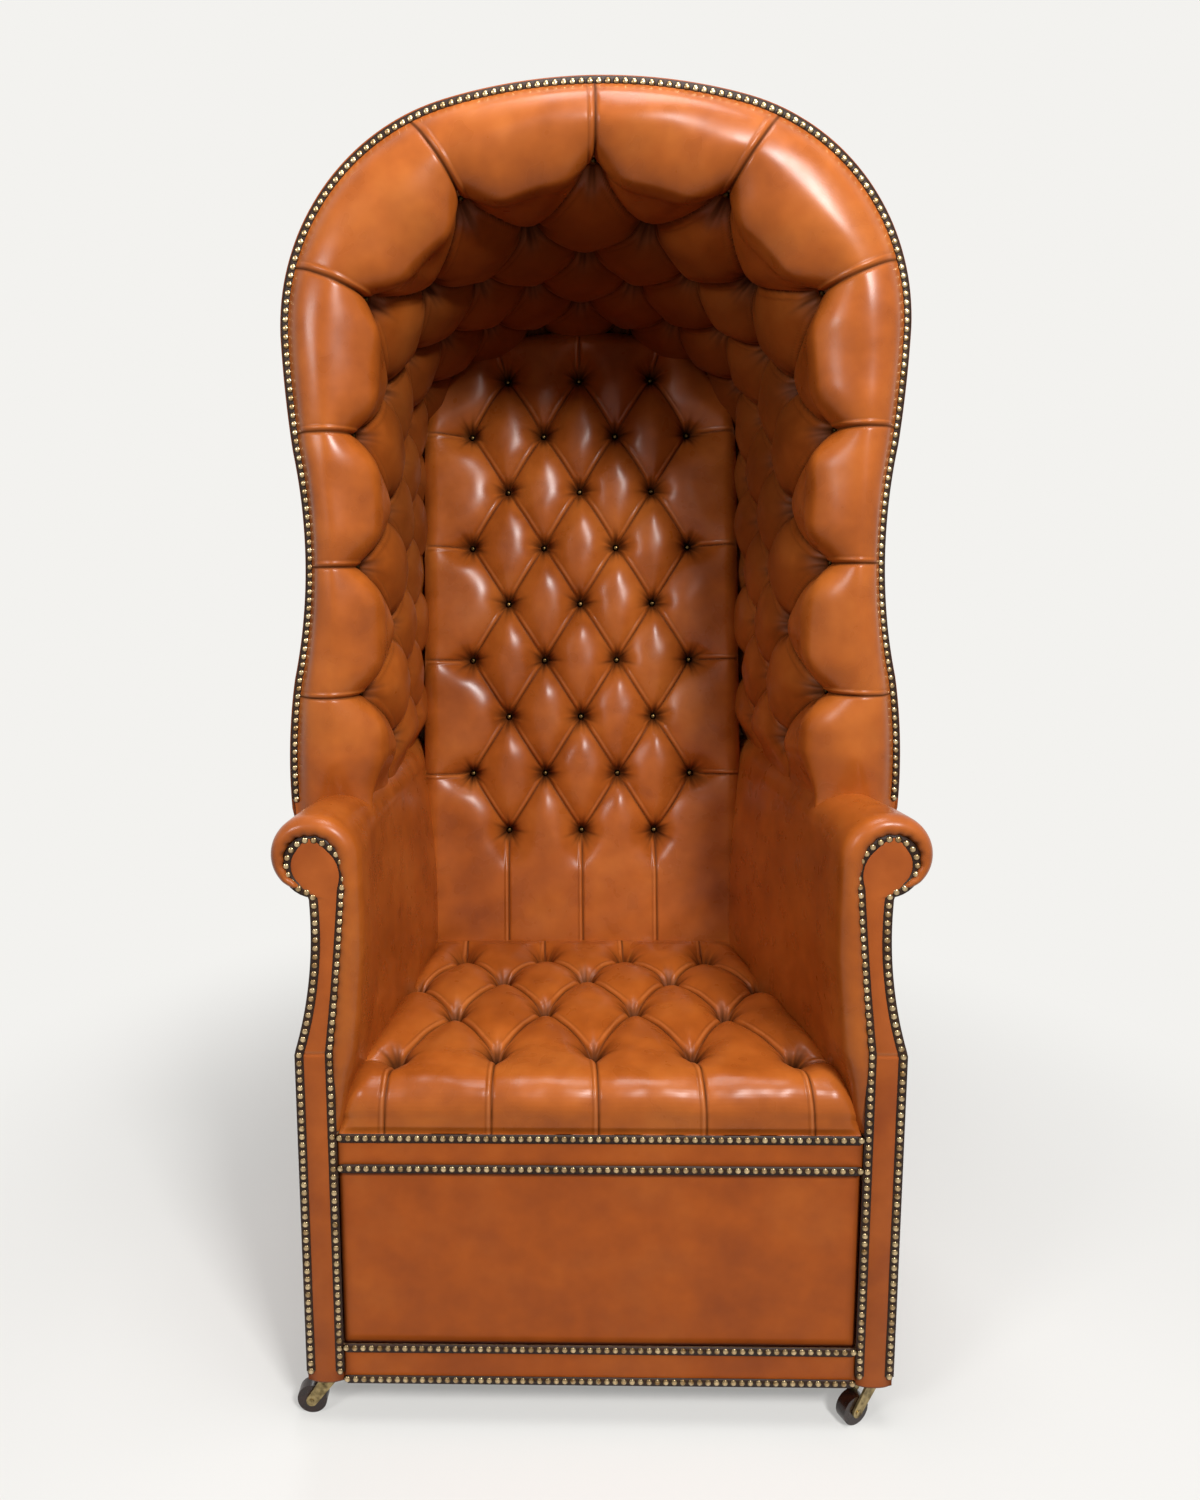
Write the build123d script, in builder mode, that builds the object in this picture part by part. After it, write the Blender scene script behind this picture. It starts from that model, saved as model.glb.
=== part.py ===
from build123d import *
import math
import os

os.makedirs("parts", exist_ok=True)

# Overall envelope of the chair, x across, -y to the front, z up from the floor
overall_depth = 730.0
caster_height = 60.0
clearance = 0.3
overrun = 40.0
leather = 4.0
front = -overall_depth / 2
back_limit = overall_depth / 2

# Straight lengths in which the soft outlines are drawn
hood_chords = 6
arm_chords = 6
scroll_chords = 8
roll_chords = 3

# Base box, which narrows towards the back
base_half_width = 365.0
base_taper = 37.0
facing_kink_z = 497.0
facing_width = 46.0
side_panel_thickness = 6.0
back_panel_thickness = 6.0
back_overhang = 131.0
base_depth = overall_depth - back_overhang
back_y = front + base_depth
back_bend_z = 450.0
back_rake = 6.45
seat_rail_top = 392.0
seat_rail_height = 62.0
plinth_height = 48.0
border_height = 41.5
rail_thickness = 30.0
post_depth = 42.0
field_recess = 5.0

# Arms with their outward scroll
scroll_radius = 43.0
scroll_x = 341.0
scroll_z = 741.0
arm_waist_x = 343.0
arm_waist_z = 640.0
arm_inner_x = 294.0
arm_inner_z = 735.0
arm_seat_x = 318.0
arm_shoulder_x = 306.0
arm_shoulder_z = 769.0
arm_belly_x = 299.0
arm_belly_z = 600.0
arm_top_taper = 40.0
arm_low_taper = 113.0
arm_edge_radius = 12.0
arm_rail_radius = 17.0
arm_front_gap = 1.0
facing_neck_x = 341.0
facing_neck_z = 693.0
facing_head_x = 371.0
facing_head_z = 738.0
facing_top_x = 339.0
facing_top_z = 767.0
facing_throat_x = 308.0
facing_throat_z = 752.0
facing_side_x = 298.0
facing_side_z = 702.0
facing_sweep_x = 306.0
facing_sweep_z = 612.0
facing_outer_sweep_x = 345.0
facing_outer_sweep_z = 585.0
post_inset = 9.0

# Hood: front outline, lining arch and depth
hood_setback = 154.0
hood_bottom_z = 752.0
hood_foot_x = 388.0
hood_foot_z = 700.0
hood_low_x = 394.5
hood_low_z = 820.0
hood_lower_turn_x = 384.0
hood_lower_turn_z = 930.0
hood_waist_x = 364.5
hood_waist_z = 1085.0
hood_upper_turn_x = 376.0
hood_upper_turn_z = 1225.0
hood_wide_x = 386.0
hood_wide_z = 1365.0
hood_shoulder_radius = 275.0
hood_top_z = 1655.0
hood_crown_radius = 700.0
hood_back_width_share = 0.9
hood_back_height_share = 0.889
hood_skin = 8.0
bow_depth = 52.0
slat_thickness = 16.0
slat_width = 44.0
slat_pitch = 112.0
slat_count = 5

# Lining arch on which the buttons sit, and its tufts
arch_half_width = 296.0
arch_foot_z = 745.0
arch_corner_radius = 205.0
arch_spring_z = 1318.0
arch_crown_z = 1561.0
arch_steps = 12
arch_slope_share = 0.143
ring_start = 204.0
ring_count = 7
ring_end_gap = 10.0
ring_pitch = (overall_depth - ring_start - ring_end_gap) / (ring_count - 1)
tuft_depth = 36.0
tuft_flank_share = 0.55
tuft_floor_share = 0.2
lining_backing = 12.0
lining_gap = 4.0
lining_split_share = 0.8
pleat_ray_z = 1300.0

# Rolled front edge of the hood
roll_crest = 27.0
roll_pleat_crest = 14.0
roll_pleat_depth = 14.0
roll_edge_inset = 1.5
roll_edge_drop = 5.0
roll_ridge_share = 0.22
roll_shoulder_share = 0.72
roll_inner_crest_share = 0.4
roll_outer_crest_share = 0.8
roll_fullness_shares = ((0.0, 0.0), (0.2, 0.7), (0.5, 1.0), (0.8, 0.7), (1.0, 0.0))

# Back cushion, in its own raked plane
back_padding = 81.0
cushion_setback = base_depth - back_padding
cushion_y = front + cushion_setback
cushion_z = 442.0
cushion_rake = 9.05
cushion_half_width = 255.0
cushion_length = 1020.0
cushion_core = 26.0
back_column_pitch = 123.5
back_row_pitch = 96.9
back_first_row = 181.5
back_row_count = 9
back_row_buttons = (3, 4)
back_frame_thickness = 20.0
back_stile = 46.0

# Seat cushion
seat_half_front = 310.0
seat_half_back = 239.0
seat_front_gap = 3.0
seat_back_gap = 56.0
seat_length = cushion_setback - seat_front_gap - seat_back_gap
seat_bottom = 394.3
seat_crease_z = 431.0
seat_column_pitch = 128.0
seat_first_row = 110.0
seat_last_row_gap = 40.0
seat_row_count = 4
seat_row_pitch = (seat_length - seat_first_row - seat_last_row_gap) / (seat_row_count - 1)
seat_row_buttons = (5, 4)
seat_nose_radius = 30.0

# Tufting shared by the cushions
pillow_height = 24.0
pillow_shares = ((0.2, 0.5), (0.48, 0.85), (0.85, 1.0))
dimple_radius = 13.0
dimple_depth = 11.0
pleat_width = 9.0
pleat_depth = 6.0
dimple_lift_share = 0.33
button_radius = 5.5
button_height = 3.5
button_top_share = 0.6
dimple_sides = 8
dimple_turn = 11.0
button_sides = 10

# Rear posts
rear_post_inner_x = 272.0
rear_post_width = 33.0
rear_post_depth = 51.0
rear_post_setback = base_depth - rear_post_depth
rear_post_front = front + rear_post_setback
rear_post_top = 1400.0
rear_post_rake = 129.0
rear_post_top_setback = rear_post_setback + rear_post_rake
rear_post_top_front = front + rear_post_top_setback

# Webbing, bottom cover and blocks
strap_width = 50.0
strap_thickness = 1.7
strap_count = 5
strap_pitch = 96.0
cover_thickness = 1.5
block_leg = 70.0
block_height = 45.0

# Casters
wheel_radius = 19.0
wheel_width = 15.0
caster_offset = 23.0
axle_radius = 3.0
running_fit = 0.06
cheek_gap = 0.6
cheek_thickness = 3.0
boss_radius = 7.0
crown_radius = 13.5
cheek_root = 9.0
axle_head = 1.0
crown_thickness = 9.0
stem_radius = 5.0
stem_length = 26.0
plate_side = 32.0
plate_thickness = 3.0
caster_turns = {"front_left": 180.0, "front_right": 205.0, "rear_left": 250.0, "rear_right": 320.0}


def save(part, name):
    """Label a finished piece and write its STEP file."""
    part.label = name
    export_step(part, f"parts/{name}.step")


def save_pair(part, name):
    """Write the right-hand piece and its mirror image on the left."""
    with BuildPart() as left:
        mirror(part, about=Plane.YZ)
    save(part, f"{name}_right")
    save(left.part, f"{name}_left")


def side_plane(x):
    """Plane facing +x whose sketch axes are y and z."""
    return Plane(origin=(x, 0, 0), x_dir=(0, 1, 0), z_dir=(1, 0, 0))


def front_plane(y):
    """Plane facing -y whose sketch axes are x and z."""
    return Plane(origin=(0, y, 0), x_dir=(1, 0, 0), z_dir=(0, -1, 0))


def slab(points, plane, amount):
    """Solid made from a closed polygon on a plane."""
    with BuildPart() as body:
        with BuildSketch(plane):
            with BuildLine():
                Polyline(*points, close=True)
            make_face()
        extrude(amount=amount)
    return body.part


def box(x0, x1, y0, y1, z0, z1):
    """Upright block between two corners."""
    points = [(x0, y0), (x1, y0), (x1, y1), (x0, y1)]
    return slab(points, Plane.XY.offset(z0), z1 - z0)


def facet_solid(rims):
    """Closed solid with flat polygons as its faces."""
    return Solid(Shell([Face(Wire.make_polygon(rim)) for rim in rims]))


def skin(loops):
    """Closed solid of flat facets between matching closed loops of points."""
    rims = [loops[0], loops[-1]]
    for near, far in zip(loops, loops[1:]):
        for a, b, c, d in zip(near, [*near[1:], near[0]], [*far[1:], far[0]], far):
            rims.append((a, b, c))
            rims.append((a, c, d))
    return facet_solid(rims)


def outer_x(y):
    """Half-width of the tapered base at a distance from the front."""
    return base_half_width - base_taper * (y - front) / (back_y - front)


def back_line(z, gap):
    """Inner face of the outside back at a height, moved forward by a gap."""
    lean = max(z - back_bend_z, 0) * math.tan(math.radians(back_rake))
    return back_y + lean - gap


def behind_back(gap):
    """Everything behind the inner face of the outside back."""
    top = hood_top_z + overrun
    points = [
        (back_line(0, gap), 0),
        (back_line(back_bend_z, gap), back_bend_z),
        (back_line(top, gap), top),
        (back_line(top, gap) + overall_depth, top),
        (back_line(top, gap) + overall_depth, 0),
    ]
    return slab(points, side_plane(-base_half_width - overrun), 2 * (base_half_width + overrun))


def chords(start, middle, end, count, inset):
    """Points along the arc through three points, all but the first, moved to its left by an inset."""
    with BuildLine(mode=Mode.PRIVATE):
        arc = ThreePointArc(start, middle, end)
    points = []
    for index in range(count):
        share = (index + 1) / count
        point = arc @ share
        way = arc % share
        points.append((point.X - way.Y * inset, point.Y + way.X * inset))
    return points


def hood_outline(width_share, height_share, inset):
    """Closed hood outline: waisted sides, round shoulders and a low crown."""
    def at(point):
        return (point[0] * width_share, hood_bottom_z + (point[1] - hood_bottom_z) * height_share)

    shoulder_x = hood_wide_x - hood_shoulder_radius
    crown_z = hood_top_z - hood_crown_radius
    angle = math.atan2(hood_wide_z - crown_z, shoulder_x)
    bend = angle / 2
    rise = (angle + math.pi / 2) / 2
    tangent = (hood_crown_radius * math.cos(angle), crown_z + hood_crown_radius * math.sin(angle))
    round_x = shoulder_x + hood_shoulder_radius * math.cos(bend)
    round_z = hood_wide_z + hood_shoulder_radius * math.sin(bend)
    crown = (hood_crown_radius * math.cos(rise), crown_z + hood_crown_radius * math.sin(rise))
    swell_x = (hood_upper_turn_x + 2 * hood_wide_x) / 3
    swell_z = (hood_upper_turn_z + hood_wide_z) / 2
    marks = [
        (hood_foot_x, hood_foot_z),
        (hood_low_x, hood_low_z),
        (hood_lower_turn_x, hood_lower_turn_z),
        (hood_waist_x, hood_waist_z),
        (hood_upper_turn_x, hood_upper_turn_z),
        (swell_x, swell_z),
        (hood_wide_x, hood_wide_z),
        (round_x, round_z),
        tangent,
        crown,
        (0, hood_top_z),
    ]
    marks = [at(mark) for mark in marks]
    right = [(marks[0][0] - inset, marks[0][1])]
    for start, middle, end in zip(marks[0::2], marks[1::2], marks[2::2]):
        right += chords(start, middle, end, hood_chords, inset)
    with BuildLine(mode=Mode.PRIVATE) as line:
        Polyline(*right, *[(-x, z) for x, z in reversed(right[:-1])], close=True)
    return line.line


def hood_volume(inset):
    """Solid inside the hood outline, from the front plane to the back limit of the chair."""
    with BuildPart() as body:
        for y, shares in (
            (front + hood_setback, (1.0, 1.0)),
            (back_limit, (hood_back_width_share, hood_back_height_share)),
        ):
            outline = hood_outline(*shares, inset)
            with BuildSketch(front_plane(y)):
                with BuildLine():
                    add(outline)
                make_face()
        loft(ruled=True)
    return body.part


def arm_outline(outer, low, top, inset):
    """Closed right arm section; each side moves in by its own amount, and the leather by the inset."""
    radius = scroll_radius - inset
    slant = inset * math.sqrt(0.5)
    scroll_side = (scroll_x + radius - outer, scroll_z)
    scroll_top = (scroll_x - outer, scroll_z + radius)
    throat = (scroll_x + leather - outer, scroll_z - math.sqrt(radius**2 - leather**2))
    panel_x = base_half_width - side_panel_thickness - clearance - outer
    kink = facing_kink_z + clearance
    base_z = seat_rail_top + clearance
    shoulder = (arm_shoulder_x - top + slant, arm_shoulder_z - slant)
    inner = (arm_inner_x - top + inset, arm_inner_z)
    belly = (arm_belly_x - (top + low) / 2 + inset, arm_belly_z)
    seat = (arm_seat_x - low + inset, base_z)
    corner = (base_half_width - outer, kink)
    waist = (arm_waist_x - outer - inset, arm_waist_z)
    points = [seat, (panel_x, base_z), (panel_x, kink), corner]
    points += chords(corner, waist, throat, arm_chords, 0)
    points += chords(throat, scroll_side, scroll_top, scroll_chords, 0)
    points += chords(scroll_top, shoulder, inner, arm_chords, 0)
    points += chords(inner, belly, seat, arm_chords, 0)[:-1]
    with BuildLine(mode=Mode.PRIVATE) as line:
        Polyline(*points, close=True)
    return line.line


def arm_volume(rounded, grow):
    """Right arm from its front to the back limit, rounded at the front or grown all round."""
    run = overall_depth - arm_front_gap
    edge = arm_edge_radius if rounded else 0.0
    sections = []
    for angle in (0, 30, 60, 90) if rounded else (0,):
        depth = edge * (1 - math.cos(math.radians(angle)))
        sections.append((depth, edge * (1 - math.sin(math.radians(angle)))))
    sections.append((run, 0.0))
    with BuildPart() as body:
        for depth, inset in sections:
            share = depth / run
            outer = (base_half_width - outer_x(back_limit)) * share
            outline = arm_outline(outer, arm_low_taper * share, arm_top_taper * share, inset - grow)
            with BuildSketch(front_plane(front + arm_front_gap + depth)):
                with BuildLine():
                    add(outline)
                make_face()
        loft(ruled=True)
    return body.part


def reach_inside(points):
    """Distance from the middle of a convex polygon to its nearest side."""
    cx = sum(p[0] for p in points) / len(points)
    cy = sum(p[1] for p in points) / len(points)
    gaps = []
    for (x0, y0), (x1, y1) in zip(points, [*points[1:], points[0]]):
        area = (x1 - x0) * (cy - y0) - (y1 - y0) * (cx - x0)
        gaps.append(abs(area) / math.hypot(x1 - x0, y1 - y0))
    return min(gaps)


def pillow(points, plane):
    """One stuffed cell between its creases: a dome in tiers that flatten towards the crown."""
    reach = reach_inside(points)
    inset = 0.0
    height = 0.0
    with BuildPart() as body:
        with BuildSketch(plane) as base:
            with BuildLine():
                Polyline(*points, close=True)
            make_face()
        top = base.sketch.faces()[0]
        for inset_share, height_share in pillow_shares:
            rise = (height_share - height) * pillow_height
            spread = (inset_share - inset) * reach
            extrude(top, amount=rise, taper=math.degrees(math.atan2(spread, rise)))
            top = body.faces().sort_by(Axis(plane.origin, plane.z_dir))[-1]
            inset = inset_share
            height = height_share
    return body.part


def dimple(x, y, plane):
    """Pit that a button pulls into the stuffing, point down."""
    loops = []
    for radius, z in (
        (button_radius + clearance, -dimple_depth),
        (dimple_radius, pillow_height * dimple_lift_share),
    ):
        turns = [math.radians(dimple_turn + 360 * side / dimple_sides) for side in range(dimple_sides)]
        loops.append(
            [plane.from_local_coords((x + radius * math.cos(t), y + radius * math.sin(t), z)) for t in turns]
        )
    return skin(loops)


def stud(x, y, plane):
    """Covered button seated at the bottom of its dimple."""
    slope = math.atan2(button_radius * (1 - button_top_share), button_height)
    with BuildPart() as body:
        with BuildSketch(plane.offset(clearance - dimple_depth)):
            with Locations((x, y)):
                RegularPolygon(button_radius, button_sides)
        extrude(amount=button_height, taper=math.degrees(slope))
    return body.part


def back_rows():
    """Button places of the back cushion, row by row."""
    rows = []
    for row in range(back_row_count):
        count = back_row_buttons[row % 2]
        xs = [(i - (count - 1) / 2) * back_column_pitch for i in range(count)]
        rows.append((back_first_row + row * back_row_pitch, xs))
    return rows


def seat_rows():
    """Button places of the seat cushion, row by row from the front."""
    rows = []
    for row in range(seat_row_count):
        count = seat_row_buttons[row % 2]
        xs = [(i - (count - 1) / 2) * seat_column_pitch for i in range(count)]
        rows.append((seat_first_row + row * seat_row_pitch, xs))
    return rows


def tuft_cells(rows, start, end, half_width):
    """Polygons between the creases of a field of buttons in alternating rows."""
    cells = []
    for index in range(1, len(rows) - 1):
        y, xs = rows[index]
        below = rows[index - 1][0]
        above = rows[index + 1][0]
        for x0, x1 in zip(xs, xs[1:]):
            middle = (x0 + x1) / 2
            cells.append([(x0, y), (middle, below), (x1, y), (middle, above)])
    for edge_y, (y0, xs), (y1, _) in ((start, rows[0], rows[1]), (end, rows[-1], rows[-2])):
        for x0, x1 in zip(xs, xs[1:]):
            cells.append([(x0, edge_y), (x1, edge_y), (x1, y0), ((x0 + x1) / 2, y1), (x0, y0)])
    for side in (-1, 1):
        outer = [(side * max(xs), y) for y, xs in rows]
        wide = max(abs(x) for x, _ in outer)
        stops = [i for i, (x, _) in enumerate(outer) if abs(x) == wide]
        for i, j in zip(stops, stops[1:]):
            y0 = outer[i][1]
            y1 = outer[j][1]
            cells.append([(side * half_width(y0), y0), *outer[i:j + 1], (side * half_width(y1), y1)])
        for edge_y, i, near in ((start, stops[0], outer[0]), (end, stops[-1], outer[-1])):
            y0 = outer[i][1]
            edge = (side * half_width(edge_y), edge_y)
            path = [edge, (near[0], edge_y), near]
            if outer[i] != near:
                path.append(outer[i])
            path.append((side * half_width(y0), y0))
            cells.append(path)
    return cells


def tufted(core, cells, dimples):
    """Cushion core with its pillows added and the dimples cut."""
    with BuildPart() as body:
        add(core)
        add(cells)
        add(dimples, mode=Mode.SUBTRACT)
    return body.part


def arch_crown_radius():
    """Radius of the top of the lining arch, which meets its round corners smoothly."""
    corner_x = arch_half_width - arch_corner_radius
    rise = arch_crown_z - arch_spring_z
    return (corner_x**2 + rise**2 - arch_corner_radius**2) / (2 * (rise - arch_corner_radius))


def arch_turn():
    """Angle through which each corner of the lining arch turns."""
    corner_x = arch_half_width - arch_corner_radius
    return math.atan2(arch_spring_z - arch_crown_z + arch_crown_radius(), corner_x)


def arch_point(step, depth, drop):
    """Point on the lining arch, a number of half tufts from the foot, moved inwards by a depth."""
    corner_x = arch_half_width - arch_corner_radius
    crown_r = arch_crown_radius()
    crown_z = arch_crown_z - crown_r
    turn = arch_turn()
    upright = arch_spring_z - drop - arch_foot_z
    corner = arch_corner_radius * turn
    crown = crown_r * (math.pi / 2 - turn)
    total = upright + corner + crown
    side = 1
    if step > arch_steps:
        side = -1
        step = 2 * arch_steps - step
    length = total * step / arch_steps
    if length <= upright:
        return side * (arch_half_width - depth), arch_foot_z + length
    if length <= upright + corner:
        angle = (length - upright) / arch_corner_radius
        radius = arch_corner_radius - depth
        x = corner_x + radius * math.cos(angle)
        return side * x, arch_spring_z - drop + radius * math.sin(angle)
    angle = turn + (length - upright - corner) / crown_r
    x = (crown_r - depth) * math.cos(angle)
    return side * x, crown_z - drop + (crown_r - depth) * math.sin(angle)


def tuft_depth_at(step, ring):
    """How far the lining stands off its buttons: none at a button, all of it between them."""
    if step in (0, 2 * arch_steps) or (step + ring) % 2 == 0:
        return 0.0
    return tuft_depth


def arch_edges(depth, drop):
    """Plain arch at a depth from the buttons, drawn from the right foot to the left."""
    corner_x = arch_half_width - arch_corner_radius
    turn = arch_turn()
    radius = arch_corner_radius - depth
    foot = arch_point(0, depth, drop)
    spring = (arch_half_width - depth, arch_spring_z - drop)
    bend, crown = [
        (corner_x + radius * math.cos(angle), arch_spring_z - drop + radius * math.sin(angle))
        for angle in (turn / 2, turn)
    ]
    Line(foot, spring)
    ThreePointArc(spring, bend, crown)
    ThreePointArc(crown, arch_point(arch_steps, depth, drop), (-crown[0], crown[1]))
    ThreePointArc((-crown[0], crown[1]), (-bend[0], bend[1]), (-spring[0], spring[1]))
    Line((-spring[0], spring[1]), (-foot[0], foot[1]))


def arch_prism(depth, drop):
    """Space under a plain arch, running through the whole depth of the chair."""
    with BuildPart() as body:
        with BuildSketch(front_plane(back_limit)):
            with BuildLine():
                arch_edges(depth, drop)
                Line(arch_point(2 * arch_steps, depth, drop), arch_point(0, depth, drop))
            make_face()
        extrude(amount=overall_depth)
    return body.part


def lining_point(step, ring, depth):
    """Point of the hood lining, counted in half tufts from the right foot and rings from the front."""
    x, z = arch_point(step, depth, arch_slope_share * ring_pitch * ring)
    return Vector(x, front + ring_start + clearance + ring * ring_pitch, z)


def lining_middle(here, there):
    """Stuffed-out point half-way between two neighbouring corners of the tufts."""
    high = max(tuft_depth_at(*here), tuft_depth_at(*there))
    depth = high * tuft_flank_share + tuft_depth * tuft_floor_share
    return lining_point((here[0] + there[0]) / 2, (here[1] + there[1]) / 2, depth)


def lining_corner(here):
    """Corner of a tuft: a button or the crest of the stuffing."""
    return lining_point(*here, tuft_depth_at(*here))


def tuft_facets(step, ring):
    """Facets of one cell of the lining, folded along the crease between its two buttons."""
    corners = [(step, ring), (step + 1, ring), (step + 1, ring + 1), (step, ring + 1)]
    if (step + ring) % 2:
        corners = [*corners[1:], corners[0]]
    start, crest_a, end, crest_b = corners
    facets = []
    for crest in (crest_a, crest_b):
        near = lining_middle(start, crest)
        far = lining_middle(end, crest)
        facets.append((lining_corner(start), near, lining_corner(end)))
        facets.append((near, lining_corner(crest), far))
        facets.append((near, far, lining_corner(end)))
    return facets


def lining_backs(step, ring):
    """Two flat facets behind one cell of the lining."""
    low = lining_point(step, ring, -lining_backing)
    high = lining_point(step + 1, ring, -lining_backing)
    low_next = lining_point(step, ring + 1, -lining_backing)
    high_next = lining_point(step + 1, ring + 1, -lining_backing)
    return [(low, high, high_next), (low, high_next, low_next)]


def lining_end(ring):
    """Flat end of the lining band at its first or last ring of buttons."""
    steps = 2 * arch_steps
    rim = [lining_corner((0, ring))]
    for step in range(steps):
        rim.append(lining_middle((step, ring), (step + 1, ring)))
        rim.append(lining_corner((step + 1, ring)))
    rim += [lining_point(steps - step, ring, -lining_backing) for step in range(steps + 1)]
    return rim


def lining_foot(step):
    """Flat foot of the lining band along one arm."""
    rim = [lining_corner((step, 0))]
    for ring in range(ring_count - 1):
        rim.append(lining_middle((step, ring), (step, ring + 1)))
        rim.append(lining_corner((step, ring + 1)))
    rim += [lining_point(step, ring_count - 1 - ring, -lining_backing) for ring in range(ring_count)]
    return rim


def lining_volume():
    """Whole tufted band of the lining as one closed solid of flat facets."""
    last_ring = ring_count - 1
    rims = [lining_end(0), lining_end(last_ring), lining_foot(0), lining_foot(2 * arch_steps)]
    for ring in range(last_ring):
        for step in range(2 * arch_steps):
            rims += tuft_facets(step, ring)
            rims += lining_backs(step, ring)
    return facet_solid(rims)


def outline_reach(face, x, z, dx, dz):
    """Distance from a point inside the hood outline to the outline along a direction."""
    near = 0.0
    far = hood_crown_radius
    while far - near > clearance / 10:
        middle = (near + far) / 2
        if face.is_inside(Vector(x + dx * middle, z + dz * middle, 0)):
            near = middle
        else:
            far = middle
    return near


def roll_section(face, step, fullness):
    """Section of the rolled edge at a place on the arch, drawn in at a pleat and full between two."""
    x, z = arch_point(step, 0, 0)
    rise = max(z - pleat_ray_z, 0)
    size = math.hypot(x, rise)
    dx = x / size
    dz = rise / size
    reach = outline_reach(face, x, z, dx, dz) - roll_edge_inset
    plane = Plane(origin=(x, front, z), x_dir=(dx, 0, dz), z_dir=(-dz, 0, dx))
    crest = roll_pleat_crest + (roll_crest - roll_pleat_crest) * fullness
    bulge = tuft_depth - roll_pleat_depth * (1 - fullness)
    back = hood_setback - clearance
    inner = (0, ring_start)
    ridge = (reach * roll_ridge_share, hood_setback - crest)
    rim = (reach, hood_setback - roll_edge_drop)
    shoulder = (reach * roll_shoulder_share, hood_setback - crest * roll_outer_crest_share)
    points = [inner]
    points += chords(inner, (-bulge, hood_setback + crest * roll_inner_crest_share), ridge, roll_chords, 0)
    points += chords(ridge, shoulder, rim, roll_chords, 0)
    points += [(reach, back), (lining_backing, back), (lining_backing, ring_start)]
    return [plane.from_local_coords((*point, 0)) for point in points]


def roll_segment(face, step):
    """One stuffed length of the rolled edge between two pleats."""
    return skin([roll_section(face, step + 2 * share, fullness) for share, fullness in roll_fullness_shares])


def facing_outline():
    """Closed outline of the right arm facing: a straight stile under a scroll head."""
    inner_x = base_half_width - facing_width
    neck = (facing_neck_x, facing_neck_z)
    top = (facing_top_x, facing_top_z)
    side = (facing_side_x, facing_side_z)
    kink = (base_half_width, facing_kink_z)
    with BuildLine(mode=Mode.PRIVATE) as line:
        Polyline(
            (inner_x, facing_kink_z),
            (inner_x, caster_height),
            (base_half_width, caster_height),
            kink,
        )
        ThreePointArc(kink, (facing_outer_sweep_x, facing_outer_sweep_z), neck)
        ThreePointArc(neck, (facing_head_x, facing_head_z), top)
        ThreePointArc(top, (facing_throat_x, facing_throat_z), side)
        ThreePointArc(side, (facing_sweep_x, facing_sweep_z), (inner_x, facing_kink_z))
    return line.line


def facing_solid(grow, y0, y1):
    """Solid of the facing outline, grown or shrunk, between two distances from the front."""
    with BuildPart() as body:
        with BuildSketch(front_plane(y1)):
            with BuildLine():
                add(facing_outline())
            make_face()
            if grow:
                offset(amount=grow, mode=Mode.REPLACE)
        extrude(amount=y1 - y0)
    return body.part


def front_post(grow):
    """Shaped stile behind the facing, with its scroll head and a square foot."""
    y0 = front + leather + clearance
    y1 = y0 + post_depth + grow
    inner_x = base_half_width - facing_width + post_inset - grow
    outer = base_half_width - post_inset + grow
    with BuildPart() as body:
        add(facing_solid(grow - post_inset, y0, y1))
        add(box(inner_x, outer, y0, y1, caster_height, caster_height + plinth_height))
    return body.part


def rear_post(grow):
    """Rear post, upright at the base and raked above the seat."""
    x0 = rear_post_inner_x - grow
    top_back = back_line(rear_post_top, clearance)
    points = [
        (rear_post_front - grow, caster_height),
        (back_line(0, clearance), caster_height),
        (back_line(back_bend_z, clearance), back_bend_z),
        (top_back, rear_post_top),
        (rear_post_top_front - grow, rear_post_top),
        (rear_post_front - grow, back_bend_z),
    ]
    return slab(points, side_plane(x0), rear_post_width + 2 * grow)


def side_strip(inset, thickness, y0, y1, z0, z1):
    """Right-hand piece that follows the tapered side of the base."""
    points = [
        (outer_x(y0) - inset, y0),
        (outer_x(y1) - inset, y1),
        (outer_x(y1) - inset - thickness, y1),
        (outer_x(y0) - inset - thickness, y0),
    ]
    return slab(points, Plane.XY.offset(z0), z1 - z0)


def behind_cushion(gap):
    """Everything behind the back of the raked back cushion."""
    lean = math.tan(math.radians(cushion_rake))
    low = caster_height
    high = hood_top_z + overrun
    points = [
        (cushion_y + gap + (low - cushion_z) * lean, low),
        (cushion_y + gap + (high - cushion_z) * lean, high),
        (back_limit + overall_depth, high),
        (back_limit + overall_depth, low),
    ]
    return slab(points, side_plane(-base_half_width - overrun), 2 * (base_half_width + overrun))


def cushion_plane():
    """Plane of the back of the back cushion, its y axis running up the panel."""
    lean = math.radians(cushion_rake)
    origin = (0, cushion_y, cushion_z)
    return Plane(origin=origin, x_dir=(1, 0, 0), z_dir=(0, -math.cos(lean), math.sin(lean)))


rail_front = front + leather + field_recess + clearance
rail_back = back_line(0, clearance)
post_back = front + leather + 2 * clearance + post_depth
seat_rail_low = seat_rail_top - seat_rail_height
plinth_top = caster_height + plinth_height
side_inset = side_panel_thickness + clearance
inner_facing_x = base_half_width - facing_width
behind = behind_back(clearance)
grown_arm = arm_volume(False, clearance)
with BuildPart() as arm_pair:
    add(grown_arm)
    mirror(grown_arm, about=Plane.YZ)

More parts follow.
